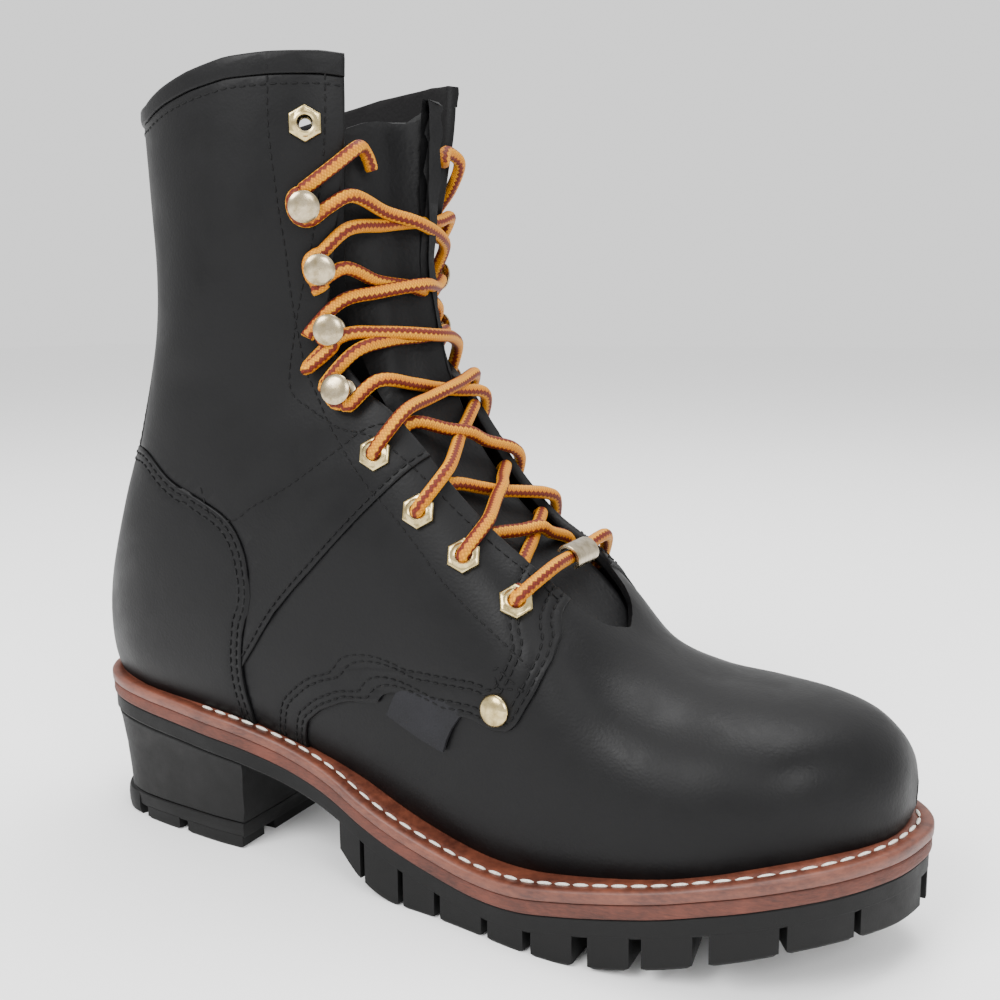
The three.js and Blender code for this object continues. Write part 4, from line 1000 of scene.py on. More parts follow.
@dataclass(frozen=True)
class BraidedCord:
    """Round polyester braid: golden yarns and red-brown yarns that make zigzags along the cord."""

    name: str = "braided_lace"
    gold: str = "#c47600"
    pale: str = "#dc9408"
    red: str = "#661c06"
    braid_mm: float = 4.2

    def build(self) -> bpy.types.Material:
        """Makes the material: U runs round the cord once and V counts braid repeats along it."""
        finish = Finish(self.name)
        tree, calc = finish.tree, finish.calc
        uv = add_node(tree, "ShaderNodeUVMap", uv_map="braid").outputs[0]
        parts = add_node(tree, "ShaderNodeSeparateXYZ", {0: uv})
        round_cord, along = parts.outputs[0], parts.outputs[1]
        # Three red-brown yarns run along the cord, each a fine zigzag of half a repeat.
        lean = calc("MULTIPLY", calc("PINGPONG", along, 0.25), 0.62)
        wrapped = calc("FRACT", calc("ADD", calc("MULTIPLY", round_cord, 3.0), lean))
        # Short yarn steps, eight round the cord and four in each repeat; their low grooves also get painted shade.
        yarn_u = calc("MULTIPLY", round_cord, 8.0)
        yarn_v = calc("MULTIPLY", along, 4.0)
        wave_a = calc("PINGPONG", calc("ADD", yarn_u, yarn_v), 0.5)
        wave_b = calc("PINGPONG", calc("SUBTRACT", yarn_u, yarn_v), 0.5)
        weave = calc("MULTIPLY", wave_a, wave_b)
        stops = [(0.0, self.gold), (0.5, self.pale), (0.6, self.red), (0.88, self.red), (0.96, self.gold)]
        # Painted shade: the colour is darkened to 0.55 of itself in the low grooves between the yarn steps.
        links = {0: finish.colours(wrapped, stops), 3: finish.spread(weave, 0.0, 0.16, 0.55, 1.0)}
        groove_shaded = add_node(tree, "ShaderNodeVectorMath", links, operation="SCALE")
        finish.feed("Base Color", groove_shaded.outputs[0])
        finish.relief(weave, 0.7, 0.5)
        finish.set(Roughness=0.62, Specular_IOR_Level=0.25)
        return finish.material


@dataclass(frozen=True)
class Finishes:
    """All the finishes of the boot, made once."""

    leather: bpy.types.Material
    lining: bpy.types.Material
    tongue: bpy.types.Material
    rubber: bpy.types.Material
    welt: bpy.types.Material
    midsole: bpy.types.Material
    insole: bpy.types.Material
    pale: bpy.types.Material
    nickel: bpy.types.Material
    tonal: bpy.types.Material
    white: bpy.types.Material
    lace: bpy.types.Material
    tab: bpy.types.Material

    @classmethod
    def make(cls) -> "Finishes":
        """Builds every material."""
        return cls(
            leather=OiledLeather().build(),
            lining=OiledLeather("lining_leather", "#0a090a", "#121112", 0.72, 1.2, 0.3).build(),
            tongue=OiledLeather("tongue_leather", "#070708", "#0e0e0f", 0.55, 1.6, 0.5).build(),
            rubber=MouldedRubber().build(),
            welt=BrownBoard(BoardLayer.WELT, "#3c1a10", "#6d3a28", 0.5).build(),
            midsole=BrownBoard(BoardLayer.MIDSOLE, "#331409", "#5c2c1e", 0.75).build(),
            insole=OiledLeather("footbed_leather", "#241d18", "#332920", 0.85, 1.2, 0.3).build(),
            pale=PlatedMetal("brass_plated_steel", "#c9b684", "#96845a", 0.22).build(),
            nickel=PlatedMetal("nickel_plated_steel", "#b3a58a", "#85775a", 0.24).build(),
            tonal=SewingThread("black_thread", "#070708", "#030303", 0.7).build(),
            white=SewingThread("white_thread", "#e6e2da", "#b9b2a6", 0.65).build(),
            lace=BraidedCord().build(),
            tab=OiledLeather("woven_tab", "#18181a", "#222225", 0.8, 0.8, 0.7).build(),
        )


def make_piece(
    name: str,
    points: np.ndarray,
    faces: Sequence[Sequence[int]],
    material: bpy.types.Material,
    sharp: float = 38.0,
    closed: bool = True,
) -> bpy.types.Object:
    """Makes one object from points in millimetres.

    Args:
        name: The piece's name.
        points: Corner places.
        faces: Polygons.
        material: Its finish.
        sharp: Edges that turn more than this many degrees stay crisp.
        closed: Whether the faces close a body, so that their outside can be worked out.

    Returns:
        The object, riding on the boot.
    """
    mesh = bpy.data.meshes.new(name)
    mesh.from_pydata((np.asarray(points, float) * MM).tolist(), [], [list(f) for f in faces])
    form = bmesh.new()
    form.from_mesh(mesh)
    bmesh.ops.remove_doubles(form, verts=form.verts, dist=2e-6)
    bmesh.ops.dissolve_degenerate(form, dist=1e-7, edges=form.edges)
    if closed:
        bmesh.ops.recalc_face_normals(form, faces=form.faces)
    limit = math.radians(sharp)
    for edge in form.edges:
        edge.smooth = len(edge.link_faces) == 2 and edge.calc_face_angle(0) < limit
    for face in form.faces:
        face.smooth = True
    form.to_mesh(mesh)
    form.free()
    mesh.materials.append(material)
    piece = bpy.data.objects.new(name, mesh)
    bpy.context.scene.collection.objects.link(piece)
    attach(piece, "root")
    log.info("%s: %d corners, %d faces", name, len(mesh.vertices), len(mesh.polygons))
    return piece


class Body:
    """Points and faces gathered for one piece."""

    def __init__(self) -> None:
        """Starts empty."""
        self.points: list[np.ndarray] = []
        self.faces: list[tuple[int, ...]] = []
        self.count = 0

    def add(self, points: np.ndarray, faces: Sequence[Sequence[int]]) -> None:
        """Adds one closed form."""
        self.points.append(np.asarray(points, float))
        self.faces += [tuple(k + self.count for k in f) for f in faces]
        self.count += len(points)

    def piece(self, name: str, material: bpy.types.Material, slot: str, sharp: float = 38.0) -> bpy.types.Object:
        """Makes the gathered forms one object."""
        return make_piece(name, np.vstack(self.points), self.faces, material, sharp)


def loft(rings: Sequence[np.ndarray], round_ring: bool = True, round_loft: bool = False) -> Shape:
    """Faces between rings of points with the same count.

    Args:
        rings: The rings in order.
        round_ring: Whether each ring closes on itself.
        round_loft: Whether the last ring joins the first.

    Returns:
        Points and faces, with capped ends where the loft is open.
    """
    count = len(rings[0])
    faces: list[tuple[int, ...]] = []
    total = len(rings)
    for r in range(total if round_loft else total - 1):
        n = (r + 1) % total
        for k in range(count if round_ring else count - 1):
            m = (k + 1) % count
            faces.append((r * count + k, r * count + m, n * count + m, n * count + k))
    if not round_loft and round_ring:
        faces.append(tuple(range(count)))
        faces.append(tuple((total - 1) * count + k for k in reversed(range(count))))
    return np.vstack(rings), faces


def frame_on(normal: np.ndarray) -> np.ndarray:
    """Three unit rows whose last is the given direction."""
    n = normal / np.linalg.norm(normal)
    side = np.cross(n, (0.0, 0.0, 1.0))
    side /= np.linalg.norm(side)
    return np.array([side, np.cross(n, side), n])


class StitchMaker:
    """Sews rows of stitches with one geometry tree."""

    def __init__(self) -> None:
        """Builds the tree: curve from edges, even steps, one long bead on each step."""
        tree = bpy.data.node_groups.new("stitch_rows", "GeometryNodeTree")
        self.tree = tree
        face = tree.interface
        face.new_socket("Rows", in_out="INPUT", socket_type="NodeSocketGeometry")
        self.sockets = {
            key: face.new_socket(key, in_out="INPUT", socket_type=kind).identifier
            for key, kind in (
                ("Pitch", "NodeSocketFloat"),
                ("Long", "NodeSocketFloat"),
                ("Wide", "NodeSocketFloat"),
                ("Proud", "NodeSocketFloat"),
                ("Finish", "NodeSocketMaterial"),
            )
        }
        face.new_socket("Stitches", in_out="OUTPUT", socket_type="NodeSocketGeometry")
        given = add_node(tree, "NodeGroupInput").outputs
        curve = add_node(tree, "GeometryNodeMeshToCurve", {"Mesh": given["Rows"]})
        even = add_node(
            tree, "GeometryNodeResampleCurve", {"Curve": curve.outputs[0], "Length": given["Pitch"]}, mode="LENGTH"
        )
        bead = add_node(tree, "GeometryNodeMeshUVSphere", {"Segments": 8, "Rings": 5, "Radius": 0.5})
        size = add_node(
            tree, "ShaderNodeCombineXYZ", {0: given["Long"], 1: given["Wide"], 2: given["Proud"]}
        )
        shaped = add_node(
            tree, "GeometryNodeTransform", {"Geometry": bead.outputs[0], "Scale": size.outputs[0]}
        )
        tangent = add_node(tree, "GeometryNodeInputTangent")
        lift = add_node(tree, "GeometryNodeInputNamedAttribute", {"Name": "up"}, data_type="FLOAT_VECTOR")
        along = add_node(
            tree, "FunctionNodeAlignRotationToVector", {"Vector": tangent.outputs[0]}, axis="X"
        )
        upright = add_node(
            tree,
            "FunctionNodeAlignRotationToVector",
            {"Rotation": along.outputs[0], "Vector": lift.outputs[0]},
            axis="Z",
            pivot_axis="X",
        )
        placed = add_node(
            tree,
            "GeometryNodeInstanceOnPoints",
            {"Points": even.outputs[0], "Instance": shaped.outputs[0], "Rotation": upright.outputs[0]},
        )
        real = add_node(tree, "GeometryNodeRealizeInstances", {0: placed.outputs[0]})
        smooth = add_node(tree, "GeometryNodeSetShadeSmooth", {"Geometry": real.outputs[0]})
        dressed = add_node(
            tree, "GeometryNodeSetMaterial", {"Geometry": smooth.outputs[0], "Material": given["Finish"]}
        )
        out = add_node(tree, "NodeGroupOutput")
        tree.links.new(dressed.outputs[0], out.inputs[0])

    def sew(
        self,
        name: str,
        rows: Sequence[tuple[np.ndarray, np.ndarray]],
        material: bpy.types.Material,
        slot: str,
        pitch: float,
        long: float,
        wide: float,
        proud: float,
    ) -> bpy.types.Object:
        """Sews rows of stitches.

        Args:
            name: The piece's name.
            rows: Points in millimetres and outward directions of each row.
            material: The thread.
            slot: Not used.
            pitch: Distance between stitches, in millimetres.
            long: Length of a stitch.
            wide: Width of a stitch.
            proud: Height of a stitch.

        Returns:
            The stitches as one plain mesh.
        """
        points = np.vstack([p for p, _ in rows]) * MM
        ups = np.vstack([u for _, u in rows])
        edges = []
        start = 0
        for p, _ in rows:
            edges += [(start + k, start + k + 1) for k in range(len(p) - 1)]
            start += len(p)
        mesh = bpy.data.meshes.new(name + "_rows")
        mesh.from_pydata(points.tolist(), edges, [])
        mesh.attributes.new("up", "FLOAT_VECTOR", "POINT").data.foreach_set("vector", ups.ravel())
        source = bpy.data.objects.new(name + "_rows", mesh)
        bpy.context.scene.collection.objects.link(source)
        modifier = source.modifiers.new("stitches", "NODES")
        modifier.node_group = self.tree
        for key, value in (("Pitch", pitch), ("Long", long), ("Wide", wide), ("Proud", proud)):
            modifier[self.sockets[key]] = value * MM
        modifier[self.sockets["Finish"]] = material
        view = bpy.context.evaluated_depsgraph_get()
        made = bpy.data.meshes.new_from_object(source.evaluated_get(view))
        source.modifiers.remove(modifier)
        bpy.data.objects.remove(source)
        made.name = name
        piece = bpy.data.objects.new(name, made)
        bpy.context.scene.collection.objects.link(piece)
        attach(piece, "root")
        log.info("%s: %d rows, %d faces", name, len(rows), len(made.polygons))
        return piece


@dataclass
class LeatherUpper:
    """Vamp, quarters, shaft panels, counter pocket, back strip and collar band, with their seams."""

    finishes: Finishes
    seams: Seams
    stitcher: StitchMaker
    quarter_thick: float = 1.35
    shaft_thick: float = 1.75
    shaft_edge: float = 0.5
    counter_thick: float = 2.55
    stay_thick: float = 2.3
    band_thick: float = 2.3
    tab_thick: float = 1.1
    tab_corners: tuple[tuple[float, float, float], ...] = (
        (108.5, -40.2, 75.5), (136.0, -43.7, 73.0), (127.4, -42.9, 57.4), (103.6, -39.9, 65.7),
    )
    rounding: float = 0.55
    base: Sheet = field(init=False)

    def __post_init__(self) -> None:
        """Cuts the whole face to the feather line, the collar and the throat."""
        seams = self.seams
        self.base = Sheet.whole(219, 132).cut(seams.feather).cut(seams.collar).cut(seams.throat)

    def surface(self, s: np.ndarray, turn: np.ndarray) -> np.ndarray:
        """Height of the outermost leather over the face, at each place."""
        sheet, seams = Sheet(np.asarray(s, float), np.asarray(turn, float), []), self.seams
        lift = np.where(seams.quarter(sheet) > 0, self.quarter_thick, 0.0)
        shaft = seams.shaft(sheet)
        lift = np.where(shaft > 0, self.shaft_lift(shaft), lift)
        lift = np.where(seams.stay(sheet) > 0, self.stay_thick, lift)
        lift = np.where(seams.band(sheet) > 0, self.band_thick, lift)
        lift = np.where(seams.counter(sheet) > 0, self.counter_thick, lift)
        return lift + waves(sheet.points())

    def shaft_lift(self, inside: np.ndarray) -> np.ndarray:
        """Height of the shaft panel, a little thicker at its folded lower edge."""
        return self.shaft_thick + self.shaft_edge * np.exp(-np.maximum(inside, 0) / 8)

    def rounded(self, edge: np.ndarray) -> np.ndarray:
        """How much the face drops near a cut edge."""
        share = 1 - np.clip(edge / self.rounding, 0, 1)
        return self.rounding * (1 - np.sqrt(np.clip(1 - share**2, 0, 1)))

    def body(self, sheet: Sheet, top: np.ndarray, low: np.ndarray) -> tuple[np.ndarray, list, int]:
        """Closes a sheet between two heights.

        Args:
            sheet: The cut sheet.
            top: Upper height of each corner.
            low: Lower height of each corner.

        Returns:
            Points, faces, and the number of faces on the upper side.
        """
        places = np.round(sheet.points() * 500).astype(np.int64)
        first: dict[tuple[int, ...], int] = {}
        same = [first.setdefault(tuple(p), k) for k, p in enumerate(places)]
        upper = []
        for face in sheet.faces:
            loop = [same[k] for k in face]
            loop = [k for n, k in enumerate(loop) if k != loop[n - 1]]
            if len(set(loop)) > 2 and len(set(loop)) == len(loop):
                upper.append(tuple(loop))
        count = len(sheet.s)
        edges: dict[tuple[int, int], int] = {}
        for face in upper:
            for n, k in enumerate(face):
                edges[(k, face[(n + 1) % len(face)])] = 1
        rims = [(b, a, a + count, b + count) for a, b in edges if (b, a) not in edges]
        lower = [tuple(k + count for k in reversed(face)) for face in upper]
        points = np.vstack([sheet.points(top), sheet.points(low)])
        return points, upper + lower + rims, len(upper)

    def panel(
        self,
        name: str,
        rules: Sequence[Rule],
        thick: Callable[[Sheet], np.ndarray],
        rows: Sequence[tuple[Rule, float]] = (),
        holes: bool = False,
    ) -> bpy.types.Object:
        """Cuts one panel and gives it its thickness.

        Args:
            name: The piece's name.
            rules: Its cut edges.
            thick: Height of its face.
            rows: Stitch rows, each as a rule and a distance, which draw the leather in.
            holes: Whether the eyelets go through it.

        Returns:
            The panel.
        """
        sheet = self.base.copy()
        cuts = list(rules) + ([self.seams.hole] if holes else [])
        for rule in cuts:
            sheet.cut(rule)
        around = cuts + [self.seams.throat, self.seams.collar]
        for rule in around:
            for level in (0.14, 0.55):
                sheet.cut(rule, level, drop=False)
        for rule, level in rows:
            for step in (-0.7, 0.0, 0.7):
                sheet.cut(rule, level + step, drop=False)
        edge = np.min([np.maximum(rule(sheet), 0) for rule in around], axis=0)
        slow = waves(sheet.points())
        top = thick(sheet) - self.rounded(edge) + slow
        for rule, level in rows:
            top -= 0.22 * np.exp(-(((rule(sheet) - level) / 0.75) ** 2))
        points, faces, _ = self.body(sheet, top, slow - 0.1)
        return make_piece(name, points, faces, self.finishes.leather, 50.0, closed=False)

    def build(self) -> None:
        """Makes every leather piece and its stitches."""
        seams = self.seams
        self.build_vamp()
        away = [opposite(seams.counter, 0.05), opposite(seams.band, 0.05), opposite(seams.stay, 0.05)]
        counter_rows = [(seams.counter, 2.2), (seams.counter, 4.8)]
        quarter_rows = [(seams.quarter, level) for level in (2.0, 4.3, 9.6, 11.9)]
        shaft_rows = [(seams.shaft, 2.2)]

        def side(sign: int) -> Rule:
            """Only one side of the boot."""
            return lambda sheet: np.where(sheet.turn * sign > 0, 300.0, -300.0) * np.maximum(
                np.abs(sheet.turn), 1e-4
            )

        for sign, word in ((1, "outer"), (-1, "inner")):
            quarter = self.panel(
                f"quarter_leather_{word}",
                [side(sign), seams.quarter, opposite(seams.shaft, -0.6), *away],
                lambda sheet: np.full(len(sheet.s), self.quarter_thick),
                quarter_rows,
                holes=True,
            )
            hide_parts(f"quarter_{word}")
            shaft = self.panel(
                f"shaft_leather_{word}",
                [side(sign), seams.shaft, *away],
                lambda sheet: self.shaft_lift(seams.shaft(sheet)),
                shaft_rows,
                holes=True,
            )
            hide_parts(f"shaft_panel_{word}")
        counter = self.panel(
            "counter_leather",
            [seams.counter],
            lambda sheet: np.full(len(sheet.s), self.counter_thick),
            counter_rows,
        )
        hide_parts("counter_pocket")
        stay = self.panel(
            "back_strip",
            [seams.stay, opposite(seams.counter, -0.8), opposite(seams.band, -0.8)],
            lambda sheet: np.full(len(sheet.s), self.stay_thick),
            [(seams.stay, 2.0)],
        )
        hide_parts("backstay")
        band = self.panel(
            "collar_fold",
            [seams.band],
            lambda sheet: self.band_thick + 0.5 * np.exp(-((seams.collar(sheet) - 2.2) ** 2) / 5),
        )
        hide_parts("collar_band")
        self.build_tab()
        self.build_stitches()

    def build_vamp(self) -> None:
        """The full hide under the panels, with its lining side."""
        seams = self.seams
        sheet = self.base.copy().cut(seams.hole)
        for rule in (seams.throat, seams.collar):
            for level in (0.14, 0.55):
                sheet.cut(rule, level, drop=False)
        edge = np.minimum(np.maximum(seams.throat(sheet), 0), np.maximum(seams.collar(sheet), 0))
        slow = waves(sheet.points())
        drop = self.rounded(edge)
        points, faces, count = self.body(sheet, slow, slow * 0.6 - WALL + drop)
        leather = self.finishes.leather
        piece = make_piece("vamp_and_lining", points, faces, leather, 50.0, closed=False)
        piece.data.materials.append(self.finishes.lining)
        for polygon in piece.data.polygons:
            if count <= polygon.index < 2 * count:
                polygon.material_index = 1
        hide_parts("upper")

    def build_tab(self) -> None:
        """The small bare tab sewn to the outer quarter."""
        ends = [SKIN.nearest(corner) for corner in self.tab_corners]
        steps = np.linspace(0, 1, 13)
        across, down = (a.ravel() for a in np.meshgrid(steps, steps, indexing="ij"))
        weights = ((1 - across) * (1 - down), across * (1 - down), across * down, (1 - across) * down)
        s = sum(w * e[0] for w, e in zip(weights, ends))
        turn = sum(w * e[1] for w, e in zip(weights, ends))
        faces = [(k, k + 1, k + 14, k + 13) for k in range(12 * 13) if k % 13 < 12]
        sheet = Sheet(s, turn, faces)
        p = sheet.points()
        first = np.cross(p[1] - p[0], p[13] - p[0])
        if float(first @ SKIN.normal([s[0]], [turn[0]])[0]) < 0:
            sheet.faces = [tuple(reversed(face)) for face in faces]
        rim = np.minimum(np.minimum(across, 1 - across), 1 - down) * 12
        top = 1.1 + self.tab_thick * down - 0.35 * (rim < 0.5) + waves(p)
        points, faces, _ = self.body(sheet, top, top - 1.2)
        tab = make_piece("side_tab", points, faces, self.finishes.tab, 50.0, closed=False)
        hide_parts("label_tab")

    def runs(
        self, lines: Sequence[np.ndarray], allowed: Callable[[Sheet], np.ndarray]
    ) -> list[tuple[np.ndarray, np.ndarray]]:
        """Splits lines to the stretches that may be sewn and lays them on the leather.

        Args:
            lines: Arrays of (section, turn) rows.
            allowed: True where a stitch may lie.

        Returns:
            Points and outward directions of each stretch.
        """
        made = []
        for line in lines:
            coarse, close = np.linspace(0, 1, len(line)), np.linspace(0, 1, 4 * len(line))
            fine = np.stack([np.interp(close, coarse, c) for c in line.T], 1)
            s, turn = fine[:, 0], fine[:, 1]
            good = allowed(Sheet(s, turn, []))
            start = None
            for k in range(len(s) + 1):
                on = k < len(s) and bool(good[k])
                if on and start is None:
                    start = k
                if not on and start is not None:
                    if k - start > 6:
                        part = slice(start, k)
                        lift = self.surface(s[part], turn[part]) + 0.02
                        made.append((SKIN.at(s[part], turn[part], lift), SKIN.normal(s[part], turn[part])))
                    start = None
        return made

    def build_stitches(self) -> None:
        """Tonal stitches along every seam."""
        seams = self.seams

        def clear(*rules: tuple[Rule, float]) -> Callable[[Sheet], np.ndarray]:
            """Places that lie further inside each rule than its number."""

            def check(sheet: Sheet) -> np.ndarray:
                """True where all hold."""
                good = np.ones(len(sheet.s), bool)
                for rule, least in rules:
                    good &= rule(sheet) > least
                return good

            return check

        outside_counter = opposite(seams.counter)
        edges = ((seams.feather, 3.2), (seams.throat, 1.6), (seams.collar, 1.2))
        plans = [
            (seams.counter, (2.2, 4.8), clear(*edges)),
            (
                seams.quarter,
                (2.0, 4.3, 9.6, 11.9),
                clear(*edges, (outside_counter, 0.8), (opposite(seams.shaft), 0.8)),
            ),
            (seams.shaft, (2.2,), clear(*edges, (outside_counter, 0.8), (opposite(seams.band), 0.5))),
            (seams.band, (-3.0,), clear(*edges, (opposite(seams.stay), -9.0))),
            (seams.throat, (4.6,), clear(*edges, (seams.shaft, 1.0), (opposite(seams.band), 0.6))),
            (seams.throat, (4.6,), clear(*edges, (opposite(seams.shaft), 1.0), (seams.quarter, 3.0))),
            (seams.stay, (2.0,), clear(*edges, (outside_counter, 0.8), (opposite(seams.band), 0.5))),
        ]
        rows: list[tuple[np.ndarray, np.ndarray]] = []
        for rule, levels, allowed in plans:
            for level in levels:
                rows += self.runs(self.base.contour(rule, level), allowed)
        for table in (FACING_ROW, PULL_ROW, BOX_ROW):
            steps = 1 if table is BOX_ROW else 8
            for sign in (1, -1):
                line = smooth_line(table, steps) * np.array([1, sign])
                if steps == 1:
                    line = np.vstack([np.linspace(a, b, 8) for a, b in zip(line[:-1], line[1:])])
                rows += self.runs([line], clear(*edges))
        sides = {
            "outer": [row for row in rows if row[0][:, 1].mean() < 0],
            "inner": [row for row in rows if row[0][:, 1].mean() >= 0],
        }
        for word, group in sides.items():
            self.stitcher.sew(
                f"tonal_stitches_{word}", group, self.finishes.tonal, "black_leather", 3.4, 2.6, 0.75, 0.55
            )


@dataclass
class PaddedTongue:
    """The tongue: a thin padded sheet under the throat, thinner toward both ends."""

    finishes: Finishes
    thick: float = 3.2
    steps: int = 120
    columns: int = 34
    narrow: float = 8.0

    def build(self) -> None:
        """Makes the tongue."""
        table = np.array(TONGUE_ROWS)
        places = np.linspace(table[0, 0], table[-1, 0], self.steps)
        half = np.interp(places, table[:, 0], table[:, 1]) * BALL_WIDTH
        depth = np.interp(places, table[:, 0], table[:, 2]) * BALL_WIDTH
        across = np.linspace(-1, 1, self.columns)
        rings = []
        for k, s in enumerate(places):
            narrow = self.narrow * np.clip((s - 17) / 4, 0, 1) * np.clip(across, 0, 1)
            turn = SKIN.front_turn(np.full(self.columns, s), across * half[k] - narrow)
            spot = np.full(self.columns, s)
            to_end = min(k, self.steps - 1 - k)
            soft = 1 - 0.55 * math.exp(-to_end / 1.6)
            bulge = (1 - np.abs(across) ** 5) * soft
            ripple = 0.18 * math.sin(s * 2.3) * np.cos(across * 2.2)
            middle = -depth[k] - self.thick / 2
            top = middle + self.thick / 2 * (0.25 + 0.75 * bulge) + ripple
            low = middle - self.thick / 2 * (0.25 + 0.75 * bulge) + ripple
            rings.append(np.vstack([SKIN.at(spot, turn, top), SKIN.at(spot, turn, low)[::-1]]))
        points, faces = loft(rings)
        piece = make_piece("padded_tongue", points, faces, self.finishes.tongue, 60.0)
        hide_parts("tongue")


@dataclass
class LuggedSole:
    """Welt, brown middle layer, rubber sole with its blocks, and the stacked heel."""

    finishes: Finishes
    stitcher: StitchMaker
    count: int = 480
    lug_deep: float = 19.0
    plans: dict[float, np.ndarray] = field(default_factory=dict)

    def plan(self, inset: float) -> np.ndarray:
        """The outline at an inset, worked out once."""
        if inset not in self.plans:
            self.plans[inset] = SOLE.outline(inset, self.count)
        return self.plans[inset]

    def spot(self, share: float, inset: float) -> np.ndarray:
        """A point of the outline at a share of the way round."""
        plan = self.plan(inset)
        place = (share % 1.0) * self.count
        i, w = int(place) % self.count, place - int(place)
        return plan[i] * (1 - w) + plan[(i + 1) % self.count] * w

    def sweep(self, profile: Sequence[tuple[float, float]], base: Height) -> Shape:
        """Carries a section round the outline.

        Args:
            profile: Inset and height over the base of each corner.
            base: Height rule along the foot.

        Returns:
            Points and faces.
        """
        edge = self.plan(0.0)
        heights = SOLE.heights(base, edge[:, 0])
        columns = [np.column_stack([self.plan(inset), heights + up]) for inset, up in profile]
        rings = [np.array([column[k] for column in columns]) for k in range(self.count)]
        return loft(rings, round_loft=True)

    def span(self, start: float, end: float, low: Height, root: Height, deep: float, edge: float) -> Shape:
        """One block along the outline.

        Args:
            start: Where it starts, as a share of the way round.
            end: Where it ends.
            low: Height rule of its lowest face.
            root: Height rule of its root.
            deep: How far it reaches inward.
            edge: Inset of its outer face.

        Returns:
            Points and faces.
        """
        steps = max(4, int(abs(end - start) * 500))
        rings = []
        for k in range(steps + 1):
            share = start + (end - start) * k / steps
            tight = 0.7 if k in (0, steps) else 0.0
            ring = []
            for inset, kind in ((edge, 2), (edge, 1), (edge + 0.5, 0), (edge + deep, 0), (edge + deep, 2)):
                p = self.spot(share, inset)
                q = self.spot(share, edge)
                z = root(q[0]) if kind == 2 else low(q[0]) + (0.8 if kind == 1 else tight)
                ring.append((p[0], p[1], z))
            rings.append(np.array(ring))
        return loft(rings)

    @staticmethod
    def box(x0: float, x1: float, y0: float, y1: float, low: Height, top: Height) -> Shape:
        """A block between two x values and two y values that follows the sole's heights."""
        rings = []
        for x in np.linspace(x0, x1, 4):
            z, high = low(x), top(x)
            under = [(x, y0, z + 0.4), (x, y0 + 0.5, z), (x, y1 - 0.5, z), (x, y1, z + 0.4)]
            rings.append(np.array([*under, (x, y1, high), (x, y0, high)]))
        return loft(rings)

    def plate(self, inset: float, low: Height, top: Height, x0: float, x1: float) -> Shape:
        """A plate inside the outline between two height rules."""
        plan = self.plan(inset)
        half = self.count // 2
        outer = plan[: half + 1]
        inner = np.vstack([plan[half:], plan[:1]])[::-1]
        outer = outer[np.argsort(outer[:, 0])]
        inner = inner[np.argsort(inner[:, 0])]
        rings = []
        for x in np.linspace(max(x0, plan[:, 0].min() + 0.5), min(x1, plan[:, 0].max() - 0.5), 70):
            y0 = float(np.interp(x, outer[:, 0], outer[:, 1]))
            y1 = float(np.interp(x, inner[:, 0], inner[:, 1]))
            rings.append(np.array([(x, y0, low(x)), (x, y1, low(x)), (x, y1, top(x)), (x, y0, top(x))]))
        return loft(rings)

    def build(self) -> None:
        """Makes every sole piece."""
        self.build_brown()
        self.build_rubber()
        self.build_heel()

    def build_brown(self) -> None:
        """Welt with its stitch channel, the layer under it, and the white stitches."""
        welt = Body()
        welt.add(*self.sweep(
            (
                (15, -0.1), (7.2, 0), (5.6, -0.05), (5.1, -0.4), (4.3, -0.45), (3.8, -0.05), (1.3, 0.02),
                (0.45, -0.3), (0.05, -0.9), (0, -2.2), (0.1, -3.6), (0.45, -4.1), (15, -4.15),
            ),
            SOLE.welt_top,
        ))
        piece = welt.piece("sewn_welt", self.finishes.welt, "brown_welt", 50.0)
        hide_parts("welt")
        board = Body()
        board.add(*self.sweep(
            (
                (17, 0), (1.2, 0.05), (0.7, -0.25), (0.45, -1.0), (0.5, -2.2),
                (0.42, -3.4), (0.75, -4.5), (1.3, -4.8), (17, -4.8),
            ),
            SOLE.midsole_top,
        ))
        piece = board.piece("brown_board", self.finishes.midsole, "brown_midsole", 50.0)
        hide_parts("midsole")
        whole = self.plan(4.7)
        start = int(np.argmax(whole[:, 0] > 19.0))
        order = np.vstack([whole[start:], whole[:start]])
        keep = order[order[:, 0] > 19.0]
        z = SOLE.heights(SOLE.welt_top, keep[:, 0]) - 0.12
        path = np.column_stack([keep, z])
        ups = np.tile((0.0, 0.0, 1.0), (len(path), 1))
        white = self.finishes.white
        self.stitcher.sew("welt_stitches", [(path, ups)], white, "brown_welt", 6.3, 5.5, 1.25, 1.1)

    def build_rubber(self) -> None:
        """Rubber sole: the layer under the board, the waist, and the blocks of the tread."""
        body = Body()
        top, low = -GAP, -GAP - SHANK_THICK
        wall = ((26, top), (1.5, top), (1.2, top - 0.4), (1.25, low + 0.9), (1.8, low + 0.1), (26, low))
        body.add(*self.sweep(wall, SOLE.rise))
        under, over = lambda x: SOLE.rise(x) + low + 0.1, lambda x: SOLE.rise(x) + top - 0.1
        body.add(*self.plate(24.0, under, over, -60, 300))
        root = lambda x: SOLE.rise(x) - 3.5
        for start, end in LUG_SPANS:
            body.add(*self.span(start, end, SOLE.tread, root, self.lug_deep, 1.35))
            body.add(*self.span(1 - start, 1 - end, SOLE.tread, root, self.lug_deep, 1.35))
        for k in range(6):
            x = 104.0 + 25.0 * k
            body.add(*self.box(x, x + 9.5, -15.0, 15.0, SOLE.tread, root))
            body.add(*self.box(x + 13.0, x + 21.5, -26.0, -3.0, SOLE.tread, root))
            body.add(*self.box(x + 13.0, x + 21.5, 3.0, 25.0, SOLE.tread, root))
        piece = body.piece("rubber_sole", self.finishes.rubber, "black_rubber", 32.0)
        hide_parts("outsole")

